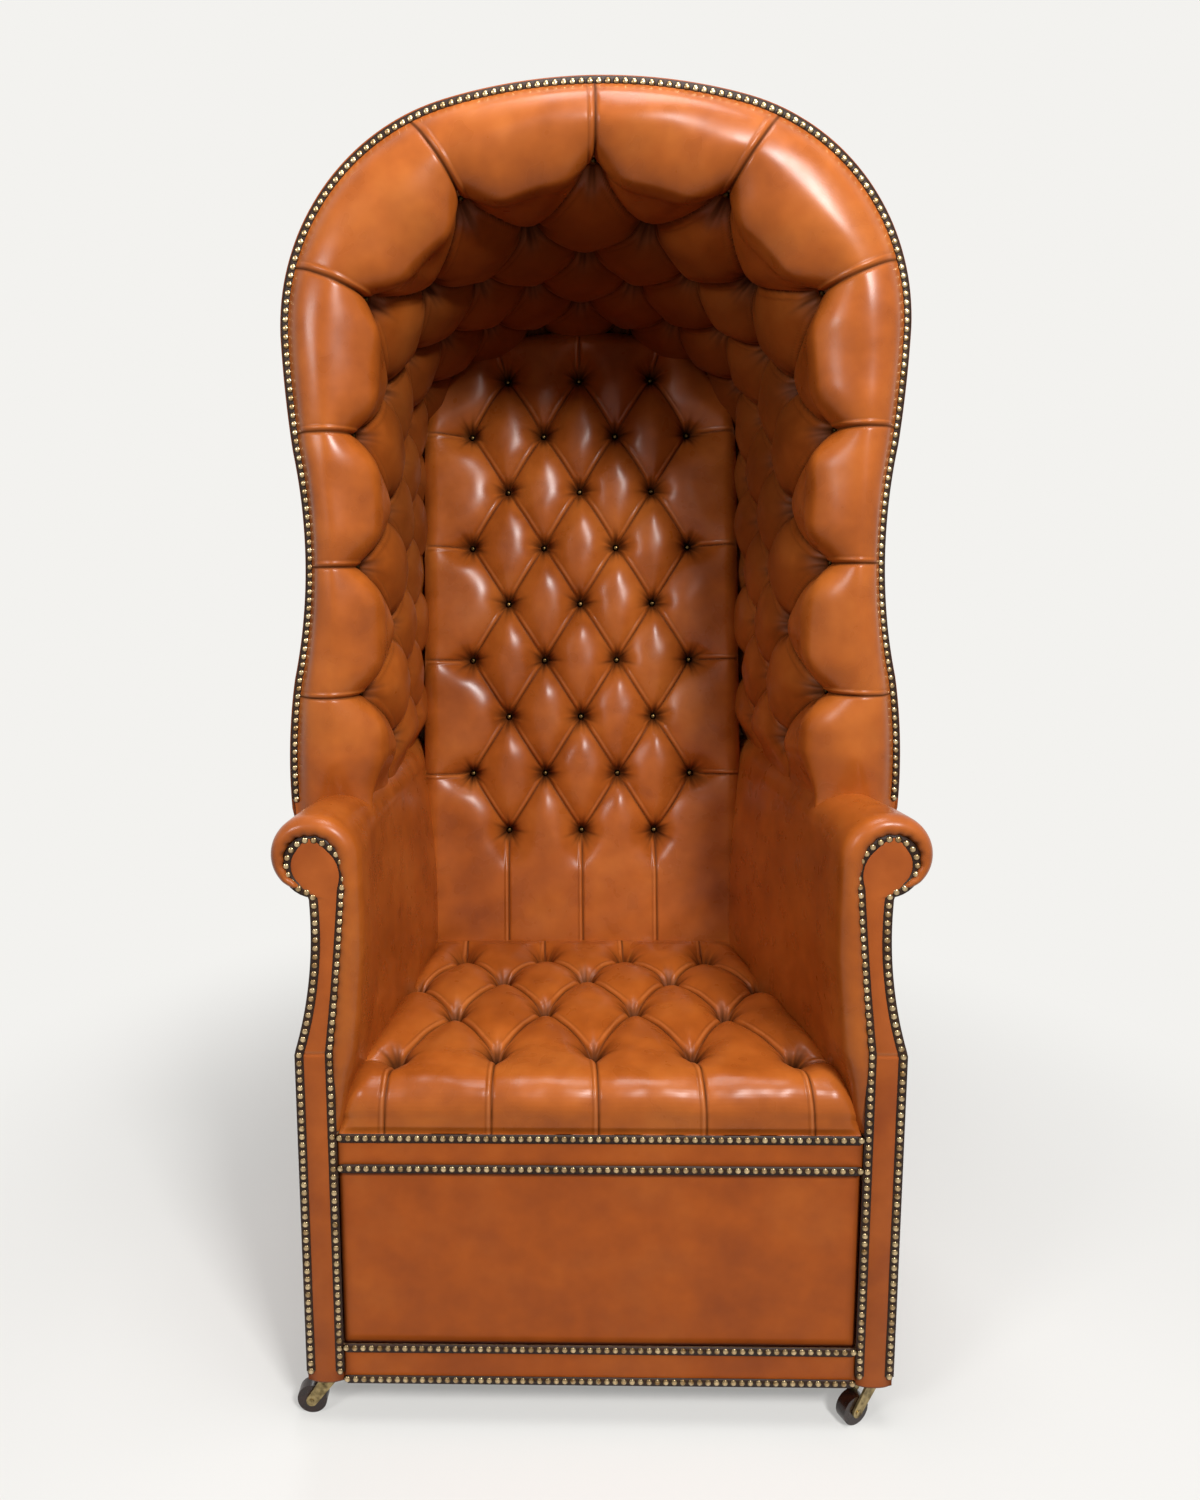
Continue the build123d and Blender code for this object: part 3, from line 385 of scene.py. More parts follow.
def dressed_grid(
    name: str, columns: int, rows: int, settle: Settle, turned: bool = False
) -> bpy.types.Object:
    """Make a hide from a fine grid whose points are moved to their places.

    Args:
        name: Name of the piece.
        columns: Faces across.
        rows: Faces along.
        settle: Gives points in millimetres and their painted shade and highlight from two shares of
            the grid.
        turned: Whether the faces look the other way.

    Returns:
        The new piece.
    """
    shape = bmesh.new()
    bmesh.ops.create_grid(shape, x_segments=columns, y_segments=rows, size=0.5)
    if turned:
        bmesh.ops.reverse_faces(shape, faces=shape.faces[:])
    piece = add_piece(name, shape)
    mesh = piece.data
    flat = np.empty(len(mesh.vertices) * 3)
    mesh.vertices.foreach_get("co", flat)
    u, v, _ = flat.reshape(-1, 3).T + 0.5
    points, tone = settle(u, v)
    mesh.vertices.foreach_set("co", (points * MM).astype(np.float32).ravel())
    store_tone(mesh, tone.astype(np.float32))
    mesh.shade_smooth()
    mesh.update()
    return piece


@contextmanager
def reshaped(piece: bpy.types.Object) -> Iterator[bmesh.types.BMesh]:
    """Open a piece's mesh for changes, then turn its faces outwards and store it.

    Args:
        piece: The piece to change.

    Yields:
        Its mesh, open for changes.
    """
    shape = bmesh.new()
    shape.from_mesh(piece.data)
    yield shape
    bmesh.ops.recalc_face_normals(shape, faces=shape.faces[:])
    shape.to_mesh(piece.data)
    shape.free()
    piece.data.update()


def border_of(shape: bmesh.types.BMesh) -> list[bmesh.types.BMEdge]:
    """Edges of a shape that have a face on one side only."""
    return [edge for edge in shape.edges if edge.is_boundary]


def close_ends(piece: bpy.types.Object) -> None:
    """Weld the doubled points of a tube-like piece and close its open ends.

    Args:
        piece: The piece to change.
    """
    with reshaped(piece) as shape:
        bmesh.ops.remove_doubles(shape, verts=shape.verts[:], dist=WELD * MM)
        bmesh.ops.holes_fill(shape, edges=border_of(shape), sides=0)


def close_behind(piece: bpy.types.Object, point: Sequence[float], normal: Triple) -> None:
    """Carry the border of a cushion's face back to a plane and close it there.

    Args:
        piece: The cushion's face.
        point: A point of the plane in millimetres.
        normal: Direction in which the plane faces.
    """
    middle, way = Vector(point) * MM, Vector(normal).normalized()
    with reshaped(piece) as shape:
        wall = bmesh.ops.extrude_edge_only(shape, edges=border_of(shape))["geom"]
        for vert in (item for item in wall if isinstance(item, bmesh.types.BMVert)):
            vert.co -= way * (vert.co - middle).dot(way)
        bmesh.ops.holes_fill(shape, edges=border_of(shape), sides=0)


def back_with(piece: bpy.types.Object, backing: bpy.types.Object) -> None:
    """Close a hide with a coarser sheet behind it, joined along their borders.

    Args:
        piece: The piece to change.
        backing: The sheet behind it, removed here.
    """
    with reshaped(piece) as shape:
        shape.from_mesh(backing.data)
        bmesh.ops.bridge_loops(shape, edges=border_of(shape))
    bpy.data.meshes.remove(backing.data)


def thicken(piece: bpy.types.Object, thickness: float) -> None:
    """Give a hide its thickness behind its face.

    Args:
        piece: The piece to change.
        thickness: Thickness in millimetres.
    """
    shell = piece.modifiers.new("hide_thickness", "SOLIDIFY")
    shell.thickness = thickness * MM
    shell.offset = -1.0
    shell.use_even_offset = False


class Nodes:
    """Node tree of a material or a world, built from nothing."""

    def __init__(self, owner: bpy.types.Material | bpy.types.World) -> None:
        """Open the owner's tree and clear it.

        Args:
            owner: Material or world that holds the tree.
        """
        owner.use_nodes = True
        self.tree = owner.node_tree
        self.tree.nodes.clear()

    def add(
        self,
        kind: str,
        inputs: dict[Socket, object] | None = None,
        stops: Sequence[tuple[float, str]] = (),
        **settings: object,
    ) -> bpy.types.Node:
        """Add a node with its settings and links.

        Args:
            kind: Type of the node.
            inputs: What each input gets: a node, a node and its output, a hex colour or a value.
            stops: Places and hex colours of a colour ramp.
            settings: Properties of the node.

        Returns:
            The new node.
        """
        node = self.tree.nodes.new(kind)
        for key, value in settings.items():
            setattr(node, key, value)
        for key, value in (inputs or {}).items():
            is_pair = isinstance(value, tuple) and len(value) == 2
            source, output = value if is_pair else (value, 0)
            if isinstance(source, bpy.types.Node):
                self.tree.links.new(source.outputs[output], node.inputs[key])
            else:
                plain = linear(value) if isinstance(value, str) else value
                node.inputs[key].default_value = plain
        for number, (position, code) in enumerate(stops):
            elements = node.color_ramp.elements
            if number == len(elements):
                elements.new(1.0)
            elements[number].position = position
            elements[number].color = linear(code)
        return node


@dataclass(frozen=True)
class Material:
    """A finish that goes into one principled shader."""

    name: str

    def build(self) -> bpy.types.Material:
        """Make the material.

        Returns:
            The material.
        """
        material = bpy.data.materials.new(self.name)
        nodes = Nodes(material)
        place = nodes.add("ShaderNodeTexCoord")
        look = self.look(nodes, (place, "Object"))
        surface = nodes.add("ShaderNodeBsdfPrincipled", look)
        nodes.add("ShaderNodeOutputMaterial", {"Surface": surface})
        return material

    def look(self, nodes: Nodes, place: Link) -> dict[Socket, object]:
        """Say what goes into the shader, from the piece's own coordinates."""
        raise NotImplementedError


@dataclass(frozen=True)
class TanHide(Material):
    """Pigmented, waxed cowhide: tan, painted shade with wax and dust in hollows, painted highlights
    on worn folds, softly glossy.
    """

    light: str = "#BE6B2B"
    body: str = "#AD5A1F"
    deep: str = "#934817"
    shade_and_dirt_colour: str = "#100502"
    highlight_and_wear: str = "#CE8450"
    gloss: float = 0.3

    def look(self, nodes: Nodes, place: Link) -> dict[Socket, object]:
        """Dye in clouds, pores and slack folds, with painted shade, wax and dust, and painted
        highlights, by the attribute on each hide.

        Args:
            nodes: Node tree to add to.
            place: Coordinates on the piece.

        Returns:
            What each input of the shader gets.
        """
        # Pores are drawn a few times too coarse, as real ones are too fine to show
        cloud, rub, pores, folds = (
            nodes.add(
                "ShaderNodeTexNoise",
                {"Vector": place, "Scale": per_mm(size), "Detail": detail, "Roughness": rough},
            )
            for size, detail, rough in ((120, 4, 0.6), (34, 2, 0.45), (1.7, 2, 0.6), (14, 1, 0.4))
        )
        stops = [(0.25, self.deep), (0.5, self.body), (0.78, self.light)]
        tone = nodes.add("ShaderNodeValToRGB", {"Fac": cloud}, stops)
        fleck = nodes.add("ShaderNodeValToRGB", {"Fac": rub}, [(0.2, "#BCABA0"), (0.75, "#FFFFFF")])
        mottled = nodes.add(
            "ShaderNodeMix", {0: 0.45, 6: tone, 7: fleck}, data_type="RGBA", blend_type="MULTIPLY"
        )
        painted_light_and_dirt = (nodes.add("ShaderNodeAttribute", attribute_name="painted_light_and_dirt"), "Fac")
        ragged = nodes.add("ShaderNodeMath", {0: rub, 1: 0.7, 2: 0.62}, operation="MULTIPLY_ADD")
        # Masks of painted shade with wax and dust, above nought, and of painted highlight with
        # wear, below nought
        shade_and_dirt_mask, worn = (
            nodes.add("ShaderNodeMath", {0: painted_light_and_dirt, 1: share}, operation="MULTIPLY", use_clamp=True)
            for share in (ragged, -1.0)
        )
        aged = (mottled, 2)
        for share, colour in ((shade_and_dirt_mask, self.shade_and_dirt_colour), (worn, self.highlight_and_wear)):
            aged = (nodes.add("ShaderNodeMix", {0: share, 6: aged, 7: colour}, data_type="RGBA"), 2)
        fine = nodes.add("ShaderNodeBump", {"Height": pores, "Strength": 0.03, "Distance": 0.0004})
        slack = {"Height": folds, "Normal": fine, "Strength": 0.07, "Distance": 0.001}
        dull, bright = self.gloss + 0.12, self.gloss - 0.07
        sheen = nodes.add("ShaderNodeMapRange", {"Value": rub, "To Min": bright, "To Max": dull})
        # Rougher with dust, and less specular as painted shade on reflections, where the painted
        # shade lies
        dusty, matt = (
            nodes.add(
                "ShaderNodeMath",
                {0: shade_and_dirt_mask, 1: share, 2: start},
                operation="MULTIPLY_ADD",
                use_clamp=True,
            )
            for share, start in ((0.5, sheen), (-0.22, 0.27))
        )
        return {
            "Base Color": aged,
            "Normal": nodes.add("ShaderNodeBump", slack),
            "Roughness": dusty,
            "Specular IOR Level": matt,
            "IOR": 1.5,
        }


@dataclass(frozen=True)
class SpottedMetal(Material):
    """Cast or pressed metal with tarnish in patches, from bright wear to dull brown oxide."""

    bright: str
    dull: str
    rim_shade: str = "#1C1307"
    patch: float = 6.0
    roughness: float = 0.3
    metallic: float = 1.0

    def look(self, nodes: Nodes, place: Link) -> dict[Socket, object]:
        """Patches of tarnish, painted shade round the rims of the heads from the attribute, and
        small dents.

        Args:
            nodes: Node tree to add to.
            place: Coordinates on the piece.

        Returns:
            What each input of the shader gets.
        """
        cloud, dents = (
            nodes.add(
                "ShaderNodeTexNoise",
                {"Vector": place, "Scale": per_mm(size), "Detail": detail, "Roughness": rough},
            )
            for size, detail, rough in ((self.patch, 4, 0.6), (self.patch / 2, 3, 0.55))
        )
        stops = [(0.34, self.dull), (0.6, self.bright)]
        tone = nodes.add("ShaderNodeValToRGB", {"Fac": cloud}, stops)
        painted_light_and_dirt = (nodes.add("ShaderNodeAttribute", attribute_name="painted_light_and_dirt"), "Fac")
        # Painted shade from the attribute, dark round the rim of each nail or button head
        rim_shaded = nodes.add("ShaderNodeMix", {0: painted_light_and_dirt, 6: tone, 7: self.rim_shade}, data_type="RGBA")
        rough, worn = self.roughness + 0.2, self.roughness - 0.08
        wear = nodes.add("ShaderNodeMapRange", {"Value": cloud, "To Min": rough, "To Max": worn})
        bump = nodes.add("ShaderNodeBump", {"Height": dents, "Strength": 0.15, "Distance": 0.0003})
        return {
            "Base Color": (rim_shaded, 2),
            "Metallic": self.metallic,
            "Roughness": wear,
            "Normal": bump,
        }


@dataclass(frozen=True)
class SawnBeech(Material):
    """Sawn, unfinished beech: pale pinkish brown with short flecks along the grain."""

    name: str = "sawn_beech"

    def look(self, nodes: Nodes, place: Link) -> dict[Socket, object]:
        """Flecks drawn out along the grain.

        Args:
            nodes: Node tree to add to.
            place: Coordinates on the piece.

        Returns:
            What each input of the shader gets.
        """
        grain = {
            "Vector": nodes.add("ShaderNodeMapping", {"Vector": place, "Scale": (1.0, 1.0, 0.08)}),
            "Scale": per_mm(4),
            "Detail": 5.0,
            "Distortion": 0.3,
        }
        flecks = nodes.add("ShaderNodeTexNoise", grain)
        stops = [(0.3, "#9C6F49"), (0.7, "#C99F74")]
        tone = nodes.add("ShaderNodeValToRGB", {"Fac": flecks}, stops)
        bump = nodes.add("ShaderNodeBump", {"Height": flecks, "Strength": 0.2, "Distance": 0.0004})
        return {"Base Color": tone, "Roughness": 0.7, "Normal": bump}


@dataclass(frozen=True)
class PlainWeave(Material):
    """Plain-woven cloth: over-and-under threads that show as a fine square relief."""

    light: str
    dark: str
    thread: float

    def look(self, nodes: Nodes, place: Link) -> dict[Socket, object]:
        """Threads crossing at right angles.

        Args:
            nodes: Node tree to add to.
            place: Coordinates on the piece.

        Returns:
            What each input of the shader gets.
        """
        # A wave of this texture is 0.314 long at scale one, so one wave spans two threads
        scale = per_mm(self.thread) / 6.28
        across, down = (
            nodes.add(
                "ShaderNodeTexWave",
                {"Vector": place, "Scale": scale, "Distortion": 0.6, "Detail": 1.0},
                bands_direction=direction,
            )
            for direction in ("X", "Y")
        )
        weave = nodes.add("ShaderNodeMath", {0: (across, 1), 1: (down, 1)}, operation="MULTIPLY")
        stops = [(0.05, self.dark), (0.6, self.light)]
        tone = nodes.add("ShaderNodeValToRGB", {"Fac": weave}, stops)
        bump = nodes.add("ShaderNodeBump", {"Height": weave, "Strength": 0.4, "Distance": 0.0006})
        return {"Base Color": tone, "Roughness": 0.9, "Normal": bump}


class Finish(Enum):
    """Finishes of the chair's own pieces."""

    # Waxed tan cowhide on the stuffed parts, stretched flat, and on the facings
    STUFFED = TanHide("waxed_tan_hide", gloss=0.27)
    FLAT = TanHide(
        "stretched_tan_hide", light="#BE6426", body="#B0561B", deep="#9C4A17", gloss=0.36
    )
    FACING = TanHide("facing_hide", light="#BA6229", body="#A9551F", deep="#934519", gloss=0.33)
    # The same hide, near black, as strips of painted shade under the rows of nails
    NAIL_SHADE = TanHide("painted_nail_shade", light="#3A200D", body="#2A1407", deep="#190A03", gloss=0.5)
    # Antiqued brass studs, aged brass nails and worn brass casters
    BUTTON = SpottedMetal("antiqued_stud", bright="#6B5532", dull="#160D06", patch=5)
    NAIL = SpottedMetal(
        "aged_brass_nail", bright="#DEC498", dull="#96744A", patch=12, roughness=0.2
    )
    CASTER = SpottedMetal(
        "worn_brass_caster", bright="#A89468", dull="#4D4028", patch=11, roughness=0.34
    )
    # Brown glazed ceramic wheels
    WHEEL = SpottedMetal(
        "brown_glazed_wheel", bright="#2A1109", dull="#130705", patch=9, roughness=0.2, metallic=0.0
    )
    # Beech frame and jute webbing, as inside any such seat
    BEECH = SawnBeech()
    JUTE = PlainWeave("jute_webbing", light="#A98B5F", dark="#5E4828", thread=2.5)
    # Black cambric, its threads drawn a few times too coarse so that they show
    CAMBRIC = PlainWeave("black_cambric", light="#1C1B1A", dark="#0A0A0A", thread=1.6)


@dataclass
class Heads:
    """Many equal small heads, such as nails or buttons, in one mesh.

    The steps of the dome are shares of the radius inwards and of the height upwards.
    """

    name: str
    radius: float
    height: float
    sides: int
    dome: tuple[Pair, ...] = ((0.08, 0.4), (0.22, 0.36), (0.32, 0.21))
    places: list[tuple[Vector, Vector]] = field(default_factory=list)
    bands: list[tuple[Points, Points]] = field(default_factory=list)

    def add(self, point: Sequence[float], normal: Sequence[float]) -> None:
        """Note one head at a point in millimetres."""
        self.places.append((Vector(point) * MM, Vector(normal).normalized()))

    def row(self, path: Points, normals: Points | Triple) -> None:
        """Note heads at even spaces along a path in millimetres.

        Args:
            path: Points of the row.
            normals: Where the heads look, at each point or all along.
        """
        normals = np.broadcast_to(normals, path.shape)
        run = lengths(path)
        shares = np.linspace(0, 1, max(int(round(run[-1] / NAIL_PITCH)), 1) + 1)
        for spot, way in zip(along(path, shares), spread(shares, run, normals)):
            self.add(spot, way)
        self.bands.append((path, normals))

    def build_shade_strips(self, name: str, width: float, height: float) -> bpy.types.Object:
        """Make the thin dark strips on which the rows of heads stand, as painted shade round them.

        Args:
            name: Name of the piece.
            width: Width of a strip in millimetres.
            height: How far a strip stands up.

        Returns:
            One piece with all the strips.
        """
        shape = bmesh.new()
        for path, normals in self.bands:
            run = lengths(path)
            across = unit(np.cross(np.gradient(path, axis=0), normals))

            def settle(u: Points, v: Points) -> tuple[Points, Points]:
                """Place one strip's grid along its path and across it."""
                spots = spread(u, run, path + height * normals)
                return spots + spread(u, run, across) * ((v - 0.5) * width)[:, None], 0 * u

            strip = dressed_grid(f"{name}_strip", max(int(run[-1] / 6), 2), 2, settle)
            shape.from_mesh(strip.data)
            bpy.data.meshes.remove(strip.data)
        piece = add_piece(name, shape)
        thicken(piece, height + 0.4)
        return piece

    def build(self) -> bpy.types.Object:
        """Make the mesh from one domed head, copied to each place.

        Returns:
            One piece with all the heads.
        """
        radius, height = self.radius * MM, self.height * MM
        head = bmesh.new()
        bmesh.ops.create_circle(head, cap_ends=True, segments=self.sides, radius=radius)
        for edge_in, rise in self.dome:
            bmesh.ops.inset_region(
                head,
                faces=[max(head.faces, key=lambda face: len(face.verts))],
                use_boundary=True,
                use_even_offset=True,
                thickness=radius * edge_in,
                depth=height * rise,
            )
        single = bpy.data.meshes.new(f"{self.name}_pattern")
        # Painted shade from the rim up the dome, leaving a painted highlight on its top
        tone = [1 - (vert.co.z / height) ** 4 for vert in head.verts]
        head.to_mesh(single)
        head.free()
        shape = bmesh.new()
        for point, normal in self.places:
            start = len(shape.verts)
            shape.from_mesh(single)
            shape.verts.ensure_lookup_table()
            turn = Matrix.Translation(point) @ normal.to_track_quat("Z", "Y").to_matrix().to_4x4()
            bmesh.ops.transform(shape, matrix=turn, verts=shape.verts[start:])
        bpy.data.meshes.remove(single)
        piece = add_piece(self.name, shape)
        piece.data.shade_smooth()
        store_tone(piece.data, tone * len(self.places))
        return piece


@dataclass
class Workshop:
    """What the pieces share: finishes, each made once, and the heads of nails and buttons."""

    nails: Heads
    buttons: Heads
    made: dict[Finish, bpy.types.Material] = field(default_factory=dict)

    def dress(self, piece: bpy.types.Object, finish: Finish) -> None:
        """Give a piece a finish in all its slots.

        Args:
            piece: The piece to change.
            finish: Its finish.
        """
        if finish not in self.made:
            self.made[finish] = finish.value.build()
        material = self.made[finish]
        if not piece.material_slots:
            piece.data.materials.append(material)
        for spot in piece.material_slots:
            spot.material = material

    def fit(
        self,
        piece: bpy.types.Object,
        finish: Finish,
        nodes: Iterable[str] = (),
    ) -> None:
        """Dress a piece, fix it to the chair and hide the solids that it stands for.

        Args:
            piece: The finished shape.
            finish: Its finish.
            nodes: Solids that it stands for.
        """
        self.dress(piece, finish)
        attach(piece, "chair")
        if nodes:
            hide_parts(*nodes)
        log.info("%s: %d faces", piece.name, len(piece.data.polygons))


@dataclass
class SeatCushion:
    """Stuffed seat: a trapezoid of tufts with a rolled nose pleated from the front buttons down."""

    half_front: float = 317.5
    half_back: float = 243.0
    front_gap: float = 3.0
    length: float = 470.0
    crease_z: float = 428.0
    crest: float = 30.0
    nose_radius: float = 34.0
    nose_depth: float = 22.0
    nose_bottom: float = 391.0
    column: float = 64.0
    rows: tuple[Pair, ...] = ((119.0, 20.0), (243.0, 30.0), (346.0, 36.0), (414.0, 8.0))
    first_count: int = 5
    bow_width: float = 256.0
    stud_sink: float = 9.0

    def half(self, y: Points) -> Points:
        """Half-width of the seat at a distance from the front."""
        taper = (self.half_front - self.half_back) / self.length
        return self.half_front - taper * (y - self.front_gap)

    def profile(self, lift: float) -> Points:
        """Side profile (y from the front, z) from the foot of the nose over the top to the back.

        Args:
            lift: Share of the stuffing's depth.

        Returns:
            Points of the profile.
        """
        face = self.front_gap + self.nose_depth * (1 - lift)
        top = self.crease_z + self.crest * lift
        radius = self.nose_radius + 6 * lift
        turn = radius * (1 - math.sqrt(0.5))
        low = self.nose_bottom
        foot = [(self.front_gap + 2, low), (face + 2, low + 4), (face, low + 11)]
        bend = arc((face, top - radius), (face + turn, top - turn), (face + radius, top), 12)
        end = [(self.front_gap + self.length, top)]
        return np.concatenate([foot, bend, end])

    def button_rows(self) -> list[list[Pair]]:
        """Buttons as (x, distance from the front), each row bowed to the front at its ends.

        Returns:
            Rows of buttons, the front one first.
        """
        return [
            [
                (x, y - bow * (x / self.bow_width) ** 2)
                for x in staggered(self.first_count - index % 2, self.column)
            ]
            for index, (y, bow) in enumerate(self.rows)
        ]

    def run_of(self, y: float) -> float:
        """Distance along the hide from the foot of the nose to a distance from the front.

        Args:
            y: Distance from the front, on the top.

        Returns:
            Distance along the hide.
        """
        path = self.profile(0.5)
        top = path[:, 1] > path[:, 1].max() - 1e-6
        return float(lengths(path)[top][0] + y - path[top][0, 0])

    def pleats(self, rows: Sequence[Sequence[Pair]], total: float) -> list[Pleat]:
        """Pleats between the buttons, down the nose and out to the other edges.

        Args:
            rows: Rows of buttons, each as (x, distance along the hide).
            total: Length of the hide from the foot of the nose to the back.

        Returns:
            The pleats.
        """
        first, last = rows[0], rows[-1]
        pleats = diamonds(rows, self.column)
        pleats += [Pleat(a, (a[0] * 1.02, 0.0), tied=False, fold=-1) for a in first]
        pleats += [Pleat(a, (a[0], total + 20), tied=False, rise=0.35) for a in last]
        for row in (first, rows[2]):
            for a in (row[0], row[-1]):
                edge = (math.copysign(self.half_front + 30, a[0]), a[1] - 12)
                pleats.append(Pleat(a, edge, tied=False))
        return pleats

    def build(self, shop: Workshop) -> None:
        """Make the seat and note its buttons.

        Args:
            shop: Finishes and heads that the pieces share.
        """
        low, middle, high = (self.profile(lift) for lift in (0.0, 0.5, 1.0))
        total = lengths(middle)[-1]
        rows = [[(x, self.run_of(y)) for x, y in row] for row in self.button_rows()]
        tufting = Tufting(
            [mark for row in rows for mark in row],
            self.pleats(rows, total),
            reach=46,
            tied_rise=0.5,
            loose_reach=58,
            fold=0.06,
            dip=0.3,
            dip_radius=11,
            dip_shade_and_dirt=0.95,
            seed=5,
        )

        def settle(u: Points, v: Points) -> tuple[Points, Points]:
            """Place the seat's grid, low along its sides and full along the back.

            Args:
                u: Shares across, from the left.
                v: Shares along, from the foot of the nose.

            Returns:
                Points in millimetres and the tone there.
            """
            half = self.half(along(middle, v)[:, 0])
            x = (2 * u - 1) * half
            run = v * total
            height, tone = tufting.relief(x, run)
            side = np.minimum(half - np.abs(x), 34) / 34
            height = height - 0.5 * (1 - side) ** 2.4
            height += (0.8 - height) * smooth((run - total + 38) / 30)
            height += 0.012 * unevenness(x, run, 9, 38)
            base, crown = along(low, v), along(high, v)
            spot = base + (crown - base) * height[:, None]
            return joined(x, FRONT + spot[:, 0], spot[:, 1]), tone

        cushion = dressed_grid("seat_hide", 400, 330, settle)
        close_behind(cushion, (0, 0, self.nose_bottom), (0, 0, 1))
        shop.fit(cushion, Finish.STUFFED, ["seat_cushion"])
        for x, y in (place for row in self.button_rows() for place in row):
            shop.buttons.add((x, FRONT + y, self.crease_z - self.stud_sink), (0, -0.1, 1))


@dataclass
class BackCushion:
    """Raked, tufted back panel that fills the end of the hood."""

    setback: float = 518.0
    foot: float = 442.0
    half: float = 266.0
    core: float = 24.0
    crest: float = 30.0
    column: float = 61.75
    row: float = 96.9
    first_row: float = 181.5
    rows: int = 9
    arch_spring: float = 822.0
    arch_crown: float = 1034.0
    stud_sink: float = 7.0
    backing: float = 4.0

    def edge(self, x: Points) -> Points:
        """Length of the panel from its foot to the arch at a distance from the middle.

        Args:
            x: Distances from the middle.

        Returns:
            Lengths in millimetres.
        """
        across = np.clip(np.abs(x) / self.half, 0, 1)
        rise = self.arch_crown - self.arch_spring
        return self.arch_spring + rise * (1 - across**2.6) ** (1 / 2.2)

    def spot(self, x: Points, run: Points, height: Points) -> Points:
        """Place of a point on the panel, its height measured from the crease level.

        Args:
            x: Distances from the middle.
            run: Distances up the panel.
            height: Heights above the crease level.

        Returns:
            The points in millimetres.
        """
        out = self.core + height
        y = FRONT + self.setback + run * math.sin(CUSHION_LEAN) - out * math.cos(CUSHION_LEAN)
        z = self.foot + run * math.cos(CUSHION_LEAN) + out * math.sin(CUSHION_LEAN)
        return joined(x, y, z)

    def build(self, shop: Workshop) -> None:
        """Make the panel and note its buttons.

        Args:
            shop: Finishes and heads that the pieces share.
        """
        rows = [
            [(x, self.first_row + i * self.row) for x in staggered(3 + i % 2, self.column)]
            for i in range(self.rows)
        ]
        marks = [mark for row in rows for mark in row]
        high = self.arch_crown + 20
        pleats = diamonds(rows, self.column)
        pleats += [Pleat(a, (a[0], -20.0), tied=False, fold=-1) for a in rows[0]]
        pleats += [Pleat(a, (a[0] * 1.25, high), tied=False) for a in rows[-1]]
        for row in rows[1::2]:
            for a in (row[0], row[-1]):
                edge = (math.copysign(self.half + 25, a[0]), a[1])
                pleats.append(Pleat(a, edge, tied=False))
        tufting = Tufting(marks, pleats, reach=50, tied_rise=0.55, dip_radius=10.5, seed=3)

        def settle(u: Points, v: Points) -> tuple[Points, Points]:
            """Place the panel's grid, low along its rim.

            Args:
                u: Shares across, from the left.
                v: Shares up the panel.

            Returns:
                Points in millimetres and the tone there.
            """
            x = (2 * u - 1) * self.half
            run = v * self.edge(x)
            height, tone = tufting.relief(x, run)
            rim = np.minimum(self.half - np.abs(x), self.edge(x) - run)
            height = height - 0.45 * (1 - np.minimum(rim, 26) / 26) ** 2.4
            return self.spot(x, run, height * self.crest), tone

        panel = dressed_grid("back_hide", 320, 620, settle)
        middle = self.spot(np.array(0.0), np.array(0.0), np.array(self.backing - self.core))
        ahead = (0, -math.cos(CUSHION_LEAN), math.sin(CUSHION_LEAN))
        close_behind(panel, middle, ahead)
        shop.fit(panel, Finish.STUFFED, ["back_cushion"])
        for x, run in marks:
            place = self.spot(np.array(x), np.array(run), np.array(-self.stud_sink))
            shop.buttons.add(place, ahead)


